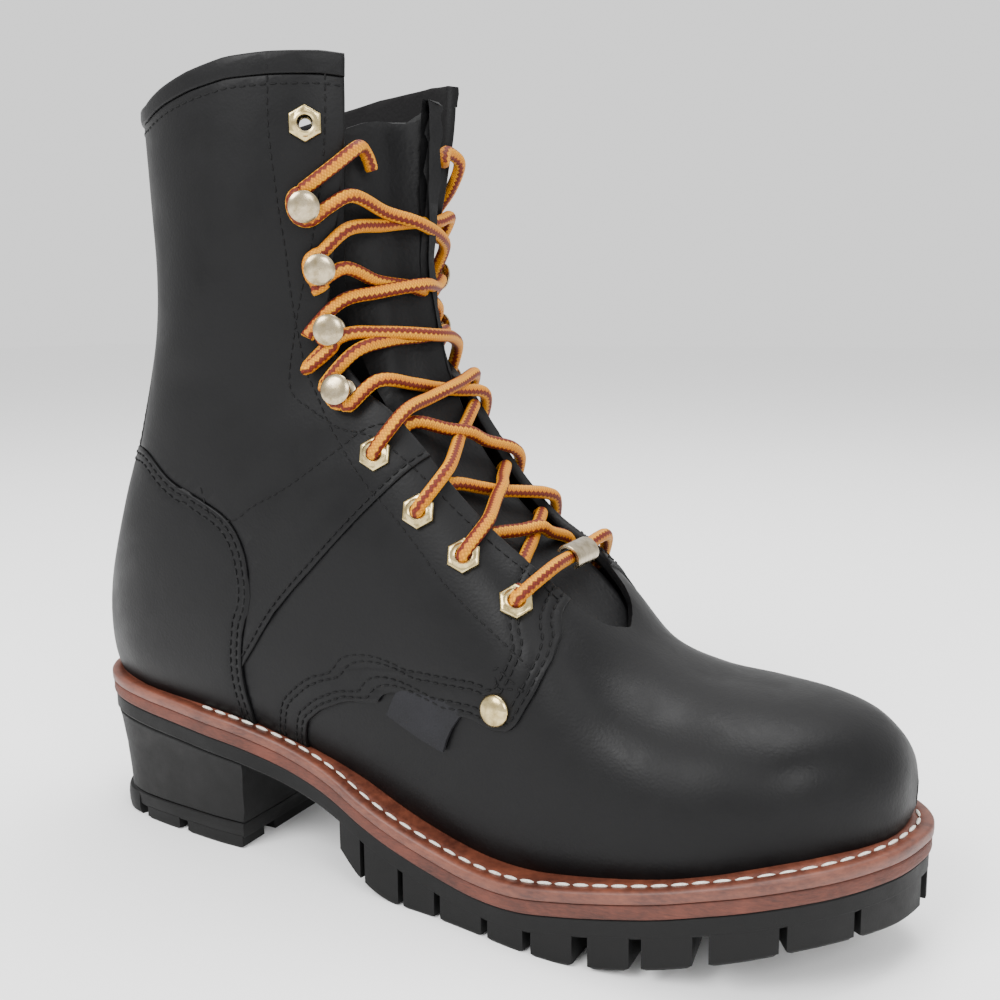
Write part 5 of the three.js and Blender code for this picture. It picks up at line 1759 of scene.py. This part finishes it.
    def heel_ring(self, inset: float, front: float, height: Height) -> np.ndarray:
        """The heel's outline with a straight front edge.

        Args:
            inset: Distance inside the sole's outline.
            front: x of the front edge.
            height: Height rule along the foot.

        Returns:
            One x, y, z row for each point.
        """
        plan = self.plan(inset)
        half = self.count // 2
        ahead = int(np.argmax(plan[:half, 0] > front))
        behind = int(np.argmax(plan[::-1][:half, 0] > front))
        start, end = (ahead - 0.5) / self.count, -(behind + 0.5) / self.count
        ring = []
        for share in np.linspace(start, end, 90):
            p = self.spot(share, inset)
            ring.append((min(p[0], front), p[1], height(p[0])))
        for t in (0.25, 0.5, 0.75):
            y = ring[89][1] + (ring[0][1] - ring[89][1]) * t
            ring.append((front, y, height(front)))
        return np.array(ring)

    def build_heel(self) -> None:
        """Heel block and its top lift with blocks round the edge."""
        under = lambda x: SOLE.rise(x) - GAP - SHANK_THICK - 0.6
        block = Body()
        levels = (
            (6.1, 35.0, 0.0), (5.5, 35.2, 0.02), (5.2, 35.6, 0.2), (4.2, 36.6, 0.55), (2.6, 37.6, 0.9),
            (2.0, 38.0, 0.985), (2.4, 38.0, 1.0),
        )
        rings = []
        for inset, front, share in levels:
            start = LIFT_THICK + GAP
            rings.append(self.heel_ring(inset, front, lambda x, t=share: start + (under(x) - start) * t))
        block.add(*loft(rings))
        piece = block.piece("heel_stack", self.finishes.rubber, "black_rubber", 40.0)
        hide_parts("heel_block")
        lift = Body()
        rings = [
            self.heel_ring(inset, front, lambda x, h=height: h)
            for inset, front, height in (
                (6.0, 34.6, 4.4), (5.6, 35.0, 5.2), (5.4, 35.2, 8.2), (5.5, 35.2, 9.6), (6.0, 35.0, 10.0),
            )
        ]
        lift.add(*loft(rings))
        floor = lambda x: 0.0
        top = lambda x: 5.0
        plan = self.plan(5.6)
        half = self.count // 2

        def share_at(x: float, inner: bool) -> float:
            """Share of the way round at which the heel's outline reaches x."""
            rows = plan[::-1][:half] if inner else plan[:half]
            value = float(np.argmax(rows[:, 0] > x)) / self.count
            return -value if inner else value

        for inner in (False, True):
            stops = [share_at(x, inner) for x in (33.8, 4.2, -0.2, -19.8, -24.2)]
            lift.add(*self.span(stops[0], stops[1], floor, top, 13.0, 5.6))
            lift.add(*self.span(stops[2], stops[3], floor, top, 13.0, 5.6))
        start, end = share_at(-24.2, True), share_at(-24.2, False)
        rings = []
        for k in range(31):
            share = start + (end - start) * k / 30
            flare = 2.1 * math.sin(math.pi * k / 30) ** 0.6
            ring = []
            for inset, height in (
                (16.0, 0.0), (6.2, 0.0), (5.6, 0.9), (5.2, 3.0), (5.1, 6.2),
                (5.3, 8.3), (5.7, 9.4), (6.2, 9.8), (16.0, 9.8),
            ):
                p = self.spot(share, inset - flare * (inset < 6))
                ring.append((p[0], p[1], height))
            rings.append(np.array(ring))
        lift.add(*loft(rings))
        for x0, x1 in ((-27.0, -12.5), (-7.0, 7.5), (13.0, 33.5)):
            lift.add(*self.box(x0, x1, -15.0, 15.0, floor, top))
        piece = lift.piece("heel_top_lift", self.finishes.rubber, "black_rubber", 32.0)
        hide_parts("heel_lift")


@dataclass
class Hardware:
    """Hexagonal eyelets, speed hooks and corner rivets, each square to the leather under it."""

    finishes: Finishes
    hex_half: float = 6.0
    bore: float = 2.45
    cap: float = 5.15
    cap_height: float = 8.7
    spots: dict[str, list[tuple[float, float]]] = field(default_factory=dict)

    def __post_init__(self) -> None:
        """Finds the place of each eyelet and hook on the face."""
        for word, sign in (("outer", -1), ("inner", 1)):
            found = []
            for along, up, aside in HARDWARE_ROWS:
                target = (along * SOLE_LENGTH - HEEL_CENTRE, sign * aside * BALL_WIDTH, up * TALL)
                found.append(SKIN.nearest(target))
            self.spots[word] = found

    def place(self, word: str, row: int) -> tuple[np.ndarray, np.ndarray]:
        """Foot point on the face and outward direction of a row's eyelet or hook."""
        s, turn = self.spots[word][row]
        return SKIN.point([s], [turn])[0], SKIN.normal([s], [turn])[0]

    def turned(
        self, profile: Sequence[tuple[float, float, float]], foot: np.ndarray, normal: np.ndarray, around: int
    ) -> Shape:
        """Spins a section round the outward direction.

        Args:
            profile: Radius, height over the seat and hexagon share of each ring; it closes on itself.
            foot: Point on the face.
            normal: Outward direction.
            around: Number of steps round.

        Returns:
            Points and faces.
        """
        axes = frame_on(normal)
        rings = []
        for k in range(around):
            angle = 2 * math.pi * k / around
            fold = (angle + math.pi / 6) % (math.pi / 3) - math.pi / 6
            hexagon = math.cos(math.pi / 6) / math.cos(fold)
            ring = []
            for radius, height, six in profile:
                r = radius * (1 + (hexagon - 1) * six)
                flat = axes[0] * r * math.cos(angle) + axes[1] * r * math.sin(angle)
                ring.append(foot + flat + normal * (SEAT + height))
            rings.append(np.array(ring))
        return loft(rings, round_loft=True)

    def eyelet_profile(self) -> list[tuple[float, float, float]]:
        """Section of a hexagonal eyelet: plate, raised rim and barrel."""
        h, b = self.hex_half, self.bore
        inside = -SEAT - WALL - 0.5
        return [
            (h, -0.75, 1.0), (h, 0.55, 1.0), (h - 0.35, 0.95, 1.0), (h - 1.0, 1.1, 0.8),
            (b + 1.9, 1.15, 0.1), (b + 1.35, 1.75, 0.0), (b + 0.75, 1.98, 0.0), (b + 0.2, 1.75, 0.0),
            (b, 1.0, 0.0), (b - 0.1, inside, 0.0), (b + 0.35, inside, 0.0), (b + 0.35, -0.75, 0.0),
        ]

    def hook_profile(self) -> list[tuple[float, float, float]]:
        """Section of a speed hook: foot, neck and domed cap."""
        c, top = self.cap, self.cap_height
        return [
            (0.01, -0.75, 0.0), (4.7, -0.75, 0.0), (4.7, 0.35, 0.0), (4.2, 0.75, 0.0), (2.3, 1.0, 0.0),
            (1.9, 1.5, 0.0), (1.9, top - 2.5, 0.0), (2.3, top - 2.1, 0.0), (c - 0.5, top - 2.0, 0.0),
            (c, top - 1.7, 0.0), (c, top - 1.2, 0.0), (c - 0.5, top - 0.75, 0.0),
            (c * 0.68, top - 0.3, 0.0), (c * 0.35, top - 0.08, 0.0), (0.01, top, 0.0),
        ]

    @staticmethod
    def back_profile(bore: float) -> list[tuple[float, float, float]]:
        """Section of the washer or rivet head on the inside of a flap."""
        low, high = -SEAT - WALL - 0.75, -SEAT - WALL + 0.3
        return [(3.9, low, 0.0), (3.9, high, 0.0), (bore, high, 0.0), (bore, low, 0.0)]

    @staticmethod
    def rivet_profile() -> list[tuple[float, float, float]]:
        """Section of the domed rivet at the quarter's corner."""
        return [
            (0.01, -0.9, 0.0), (5.1, -0.9, 0.0), (5.3, -0.2, 0.0), (5.2, 0.3, 0.0),
            (4.4, 0.95, 0.0), (2.8, 1.5, 0.0), (1.2, 1.75, 0.0), (0.01, 1.8, 0.0),
        ]

    def build(self) -> None:
        """Makes eyelets, hooks, rivets and the washers inside the flaps."""
        last = len(HARDWARE_ROWS) - 1
        for word, sign in (("outer", -1), ("inner", 1)):
            eyelets, hooks, backs, rivet = Body(), Body(), Body(), Body()
            eyelet_names, hook_names = [], []
            for row in range(last + 1):
                foot, normal = self.place(word, row)
                if row < 4 or row == last:
                    eyelets.add(*self.turned(self.eyelet_profile(), foot, normal, 48))
                    eyelet_names.append(f"eyelet_{word}_{row + 1}")
                    backs.add(*self.turned(self.back_profile(2.0), foot, normal, 24))
                else:
                    hooks.add(*self.turned(self.hook_profile(), foot, normal, 36))
                    hook_names.append(f"hook_{word}_{row + 1}")
                    backs.add(*self.turned(self.back_profile(0.01), foot, normal, 24))
            piece = eyelets.piece(f"hex_eyelets_{word}", self.finishes.pale, "pale_metal", 40.0)
            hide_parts(*eyelet_names)
            piece = hooks.piece(f"speed_hooks_{word}", self.finishes.nickel, "nickel_metal", 40.0)
            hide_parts(*hook_names)
            backs.piece(f"eyelet_backs_{word}", self.finishes.pale, "pale_metal", 40.0)
            along, up, aside = RIVET_ROW
            s, turn = SKIN.nearest((along * SOLE_LENGTH - HEEL_CENTRE, sign * aside * BALL_WIDTH, up * TALL))
            foot, normal = SKIN.point([s], [turn])[0], SKIN.normal([s], [turn])[0]
            rivet.add(*self.turned(self.rivet_profile(), foot, normal, 36))
            piece = rivet.piece(f"corner_rivet_{word}", self.finishes.pale, "pale_metal", 40.0)
            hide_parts(f"rivet_{word}")


@dataclass
class Lacing:
    """One round lace through the eyelets and hooks, with a metal keeper on its lowest bar."""

    finishes: Finishes
    hardware: Hardware
    radius: float = LACE_RADIUS
    around: int = 14
    step: float = 0.9
    neck: float = 4.75

    def depth(self, s: float) -> float:
        """Depth of the tongue's face at a section."""
        table = np.array(TONGUE_ROWS)
        return float(np.interp(s, table[:, 0], table[:, 2])) * BALL_WIDTH

    def over_leather(self) -> float:
        """Height of the lace's middle where it lies on a flap."""
        return 1.9 + self.radius + 0.15

    def edge(self, s: float, side: int, beyond: float, height: float) -> np.ndarray:
        """A point by the free edge of a flap.

        Args:
            s: Section.
            side: -1 for the outer flap, 1 for the inner one.
            beyond: Distance from the edge over the leather.
            height: Height over the face.

        Returns:
            The point.
        """
        half = float(SKIN.half_throat(np.array([s]), side)[0])
        return SKIN.over(s, side * (half + beyond), height)

    def per_section(self, s: float, y: float) -> float:
        """Millimetres along the flap for one section step."""
        return float(np.linalg.norm(SKIN.over(s + 0.1, y, 0) - SKIN.over(s - 0.1, y, 0))) / 0.2

    def through_hole(self, word: str, row: int, upward: bool) -> list[np.ndarray]:
        """Points up through an eyelet, or down through it."""
        foot, normal = self.hardware.place(word, row)
        heights = (-4.9, -1.0, SEAT + 1.6)
        points = [foot + normal * h for h in heights]
        return points if upward else points[::-1]

    def round_hook(self, word: str, row: int) -> list[np.ndarray]:
        """Points from under a hook, round the far side of its neck, to over it."""
        foot, normal = self.hardware.place(word, row)
        side = -1 if word == "outer" else 1
        rows = self.hardware.spots[word]
        above, below = rows[min(row + 1, 7)], rows[max(row - 1, 3)]
        way = SKIN.point([above[0]], [above[1]])[0] - SKIN.point([below[0]], [below[1]])[0]
        way /= np.linalg.norm(way)
        out = np.cross(normal, way) * (1 if side < 0 else -1)
        s, turn = rows[row]
        inward = SKIN.over(s, side * 10.0, 0.0) - foot
        if float(out @ inward) > 0:
            out = -out
        seat = foot + normal * (SEAT + 1.25 + self.radius)
        return [
            seat - way * self.neck - out * 0.3,
            seat - way * self.neck * 0.7 + out * self.neck * 0.56,
            seat + out * self.neck * 0.76,
            seat + way * self.neck * 0.7 + out * self.neck * 0.56,
            seat + way * self.neck - out * 0.3,
        ]

    def wrap(self, word: str, row: int, upward: bool) -> list[np.ndarray]:
        """Points from beside an eyelet or hook over the flap's free edge, toward the throat."""
        side = -1 if word == "outer" else 1
        s, _ = self.hardware.spots[word][row]
        shift = 0.0
        if row > 3:
            half = float(SKIN.half_throat(np.array([s]), side)[0])
            lower = 5.5 if side > 0 else 0.0
            shift = ((self.neck + 0.4) * (1 if upward else -1) - lower) / self.per_section(s, side * half)
        lean = 0.1 if upward else -0.1
        over = self.over_leather() + (0.5 if row < 4 else 0.9)
        return [
            self.edge(s + shift + lean * 0.2, side, 2.6, over),
            self.edge(s + shift + lean, side, -1.9, over - 1.6),
        ]

    def dive(self, word: str, row: int) -> list[np.ndarray]:
        """Points from the throat under a flap to below its eyelet."""
        side = -1 if word == "outer" else 1
        s, _ = self.hardware.spots[word][row]
        return [
            self.edge(s - 0.16, side, -3.4, -2.6),
            self.edge(s - 0.05, side, 2.2, -4.7),
        ]

    def middle(self, word: str, row: int, lift: float) -> list[np.ndarray]:
        """Points of a crossing over the tongue, from one row to the next on the other side."""
        side = -1 if word == "outer" else 1
        other = "inner" if word == "outer" else "outer"
        a = self.hardware.spots[word][row][0]
        made = []
        upper = self.wrap(word, row, upward=True)[-1] if row > 0 else self.edge(a + 0.34, side, -3.4, -2.8)
        if row + 1 < 4:
            arrive = self.dive(other, row + 1)[0]
        else:
            arrive = self.wrap(other, row + 1, upward=False)[-1]
        sign = 1.0 if lift > 0 else -1.0
        for share in (0.3, 0.5, 0.7):
            flat = upper + (arrive - upper) * share
            near_s, near_turn = SKIN.nearest(tuple(flat))
            ground = SKIN.point([near_s], [near_turn])[0]
            way = SKIN.normal([near_s], [near_turn])[0]
            share_up = 1.0 if share == 0.5 else 0.45
            floor = -self.depth(near_s) + self.radius + 0.5 + max(sign, 0.0) * 2 * self.radius * share_up
            height = float((flat - ground) @ way) + self.radius * 0.5 * sign * share_up
            made.append(ground + way * max(height, floor))
        return made

    def run(self, start: str) -> list[np.ndarray]:
        """Centre line of one half of the lace, from under the first eyelet to over the top hook.

        Args:
            start: The side whose first eyelet it leaves, outer or inner.

        Returns:
            Points in order.
        """
        word, points = start, []
        first = self.through_hole(word, 0, upward=False)
        side = -1 if word == "outer" else 1
        s0 = self.hardware.spots[word][0][0]
        points += [first[0] + (first[1] - first[0]) * 2.0, first[1], first[0]]
        points += [self.edge(s0 + 0.2, side, 2.0, -4.7), self.edge(s0 + 0.34, side, -3.4, -2.8)]
        for row in range(7):
            other = "inner" if word == "outer" else "outer"
            lift = 0.0 if (row % 2 == 0) == (word == "outer") else 2 * self.radius - 0.3
            if row > 0:
                points += self.wrap(word, row, upward=True)
            points += self.middle(word, row, lift)
            if row + 1 < 4:
                points += self.dive(other, row + 1)
                points += self.through_hole(other, row + 1, upward=True)
            else:
                points += self.wrap(other, row + 1, upward=False)[::-1]
                points += self.round_hook(other, row + 1)
            word = other
        return points

    @staticmethod
    def smooth(points: Sequence[np.ndarray], step: float) -> np.ndarray:
        """Even points along a smooth curve through the given ones.

        Args:
            points: The curve's points.
            step: Distance between the results.

        Returns:
            One row for each point.
        """
        p = np.array(points)
        p = np.vstack([2 * p[0] - p[1], p, 2 * p[-1] - p[-2]])
        found = []
        for k in range(1, len(p) - 2):
            found += [curve_piece(p[k - 1 : k + 3], w) for w in np.linspace(0, 1, 14)[:-1]]
        found.append(p[-2])
        line = np.array(found)
        reach = np.r_[0, np.cumsum(np.linalg.norm(line[1:] - line[:-1], axis=1))]
        even = np.linspace(0, reach[-1], max(6, int(reach[-1] / step)))
        return np.stack([np.interp(even, reach, line[:, c]) for c in range(3)], 1)

    def tube(self, name: str, line: np.ndarray) -> bpy.types.Object:
        """A round cord along a line, with its braid laid out in UV.

        Args:
            name: The piece's name.
            line: Even points along the cord.

        Returns:
            The cord.
        """
        tangent = np.gradient(line, axis=0)
        tangent /= np.linalg.norm(tangent, axis=1)[:, None]
        side = np.cross(tangent[0], (0.0, 0.0, 1.0))
        side /= np.linalg.norm(side)
        points, count, many = [], len(line), self.around
        for k in range(count):
            side = side - tangent[k] * float(side @ tangent[k])
            side /= np.linalg.norm(side)
            up = np.cross(tangent[k], side)
            tight = 0.86 if k in (0, count - 1) else 1.0
            for n in range(many):
                angle = 2 * math.pi * n / many
                out = side * math.cos(angle) + up * math.sin(angle)
                points.append(line[k] + out * self.radius * tight)
        faces = []
        for k in range(count - 1):
            for n in range(many):
                m = (n + 1) % many
                faces.append((k * many + n, k * many + m, (k + 1) * many + m, (k + 1) * many + n))
        sides = len(faces)
        faces.append(tuple(reversed(range(many))))
        faces.append(tuple((count - 1) * many + n for n in range(many)))
        mesh = bpy.data.meshes.new(name)
        mesh.from_pydata((np.array(points) * MM).tolist(), [], faces)
        mesh.uv_layers.new(name="braid")
        layer = mesh.uv_layers["braid"]
        length = float(np.linalg.norm(line[1] - line[0]))
        repeat = BraidedCord().braid_mm
        values = np.zeros((len(mesh.loops), 2))
        spot = 0
        for index in range(sides):
            k, n = divmod(index, many)
            for dn, dk in ((0, 0), (1, 0), (1, 1), (0, 1)):
                values[spot] = ((n + dn) / many, (k + dk) * length / repeat)
                spot += 1
        layer.data.foreach_set("uv", values.ravel())
        for polygon in mesh.polygons:
            polygon.use_smooth = True
        mesh.materials.append(self.finishes.lace)
        piece = bpy.data.objects.new(name, mesh)
        bpy.context.scene.collection.objects.link(piece)
        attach(piece, "root")
        return piece

    def build(self) -> None:
        """Makes both halves, the lowest bar, the tails and the keeper."""
        half_a = self.tube("lace_half_outer", self.smooth(self.run("outer"), self.step))
        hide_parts(*[f"lace_crossing_{n}" for n in range(1, 8)])
        half_b = self.tube("lace_half_inner", self.smooth(self.run("inner"), self.step))
        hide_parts(*[f"lace_crossing_{n}" for n in range(1, 8)])
        self.build_bar()
        for word, side in (("outer", -1), ("inner", 1)):
            self.build_tail(word, side)

    def bar_place(self) -> float:
        """Section of the lowest bar."""
        return (self.hardware.spots["outer"][0][0] + self.hardware.spots["inner"][0][0]) / 2 - 0.15

    def build_bar(self) -> None:
        """The bar from eyelet to eyelet and the bent metal strip over it."""
        s = self.bar_place()
        height = self.over_leather() + 0.9
        points = [
            *self.through_hole("outer", 0, upward=True),
            self.edge(s, -1, 1.5, height + 1.0),
            SKIN.over(s, -9, height), SKIN.over(s, 0, height), SKIN.over(s, 9, height),
            self.edge(s, 1, 1.5, height + 1.0),
            *self.through_hole("inner", 0, upward=False),
        ]
        bar = self.tube("lace_lowest_bar", self.smooth(points, self.step))
        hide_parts("lace_bar")
        centre = SKIN.over(s, 0, height)
        normal = SKIN.normal([s], SKIN.front_turn(np.array([s]), np.array([0.0])))[0]
        side = np.cross(normal, (0.0, 1.0, 0.0))
        side /= np.linalg.norm(side)
        inner, outer = self.radius + 0.9, self.radius + 1.9
        rings = []
        for k in range(33):
            y = -8.8 + 17.6 * k / 32
            ring = []
            angles = np.linspace(-0.3, math.pi + 0.3, 22)
            for radius, order in ((outer, angles), (inner, angles[::-1])):
                for angle in order:
                    r = radius - (0.25 if k in (0, 32) and radius == outer else 0.0)
                    flat = 1.12 * math.cos(angle) * r, 0.92 * math.sin(angle) * r
                    ring.append(centre + side * flat[0] + normal * flat[1] + np.array((0.0, y, 0.0)))
            rings.append(np.array(ring))
        points_k, faces = loft(rings)
        keeper = make_piece("metal_keeper", points_k, faces, self.finishes.nickel, 40.0)
        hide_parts("lace_keeper")

    def build_tail(self, word: str, side: int) -> None:
        """The free end from the top hook over the flap's edge, down into the throat."""
        hook = self.round_hook(word, 7)[-1]
        s, _ = self.hardware.spots[word][7]
        half = float(SKIN.half_throat(np.array([s]), side)[0])
        at = s + (self.neck + 0.4) / self.per_section(s, side * half)
        high = self.over_leather() + 1.2
        points = [
            hook,
            self.edge(at + 0.1, side, 2.4, high),
            self.edge(at + 0.24, side, -2.4, high - 1.6),
            self.edge(at + 0.2, side, -5.2, -0.4),
            self.edge(at + 0.06, side, -7.4, -3.0),
            self.edge(at - 0.22, side, -9.5, -4.0),
            self.edge(at - 0.6, side, -11.0, -4.2),
        ]
        line = self.smooth(points, 0.8)
        piece = self.tube(f"lace_tail_{word}", line)
        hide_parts(f"lace_end_{word}")


@dataclass
class Studio:
    """Camera at the photograph's angle, pale floor and soft lights."""

    place: tuple[float, float, float] = (310.28, -362.24, 198.98)
    azimuth: float = 26.93
    elevation: float = 9.06
    roll: float = -0.52
    lens: float = 42.307

    def camera(self) -> None:
        """Makes the camera and gives it to the scene."""
        az, el, roll = (math.radians(v) for v in (self.azimuth, self.elevation, self.roll))
        back = Vector((math.sin(az) * math.cos(el), -math.cos(az) * math.cos(el), math.sin(el)))
        flat = Vector((math.cos(az), math.sin(az), 0.0))
        high = back.cross(flat)
        right = flat * math.cos(roll) + high * math.sin(roll)
        up = high * math.cos(roll) - flat * math.sin(roll)
        data = bpy.data.cameras.new("camera")
        data.lens = self.lens
        data.sensor_width = 36.0
        data.sensor_fit = "HORIZONTAL"
        data.clip_start = 0.01
        camera = bpy.data.objects.new("camera", data)
        turn = Matrix((right, up, back)).transposed().to_4x4()
        camera.matrix_world = Matrix.Translation(Vector(self.place) * MM) @ turn
        bpy.context.scene.collection.objects.link(camera)
        bpy.context.scene.camera = camera

    def floor(self) -> None:
        """A wide plain floor."""
        mesh = bpy.data.meshes.new("floor")
        wide = 6.0
        corners = [(-wide, -wide, 0), (wide, -wide, 0), (wide, wide, 0), (-wide, wide, 0)]
        mesh.from_pydata(corners, [], [(0, 1, 2, 3)])
        finish = Finish("pale_floor")
        finish.set(Base_Color=linear("#fbfbfb"), Roughness=0.9)
        mesh.materials.append(finish.material)
        plane = bpy.data.objects.new("floor", mesh)
        bpy.context.scene.collection.objects.link(plane)
        plane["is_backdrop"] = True

    def light(
        self, name: str, at: Sequence[float], towards: Sequence[float], size: float, power: float
    ) -> None:
        """One soft square light.

        Args:
            name: Its name.
            at: Its place in metres.
            towards: The point it faces.
            size: Its width in metres.
            power: Its power in watts.
        """
        data = bpy.data.lights.new(name, "AREA")
        data.shape = "SQUARE"
        data.size = size
        data.energy = power
        lamp = bpy.data.objects.new(name, data)
        way = Vector(at) - Vector(towards)
        lamp.matrix_world = Matrix.Translation(Vector(at)) @ way.to_track_quat("Z", "Y").to_matrix().to_4x4()
        bpy.context.scene.collection.objects.link(lamp)

    def build(self) -> None:
        """Sets up the studio."""
        self.camera()
        self.floor()
        world = bpy.data.worlds.new("studio")
        bpy.context.scene.world = world
        world.use_nodes = True
        world.node_tree.nodes["Background"].inputs[0].default_value = linear("#ffffff")
        world.node_tree.nodes["Background"].inputs[1].default_value = 1.25
        self.light("key", (-0.3, -1.3, 1.3), (0.1, 0.0, 0.1), 0.9, 40.0)
        self.light("side", (1.3, -0.9, 0.9), (0.15, 0.0, 0.08), 0.7, 16.0)
        self.light("top", (0.25, 0.3, 1.5), (0.12, 0.0, 0.1), 0.9, 22.0)


def write_sizes(before: object, after: object) -> None:
    """Puts the solids' box and the dressed boot's box in one table, which is not kept."""
    plain = lambda pair: [[float(v) for v in corner] for corner in pair]
    {"cad": plain(before), "visual": plain(after)}


def main() -> None:
    """Builds the boot over its solids, piece by piece."""
    logging.basicConfig(level=logging.INFO, format="%(name)s: %(message)s")
    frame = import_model()
    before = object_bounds()
    Studio().build()
    finishes = Finishes.make()
    stitcher = StitchMaker()
    hardware = Hardware(finishes)
    lacing = Lacing(finishes, hardware)
    lacing.build()
    seams = Seams()
    seams.holes = [hardware.place(w, r)[0] for w in ("outer", "inner") for r in (0, 1, 2, 3, 8)]
    LeatherUpper(finishes, seams, stitcher).build()
    PaddedTongue(finishes).build()
    LuggedSole(finishes, stitcher).build()
    hardware.build()
    insole = frame["nodes"]["insole"]
    insole.data.materials.clear()
    insole.data.materials.append(finishes.insole)
    write_sizes(before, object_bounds())


if __name__ == "__main__":
    main()
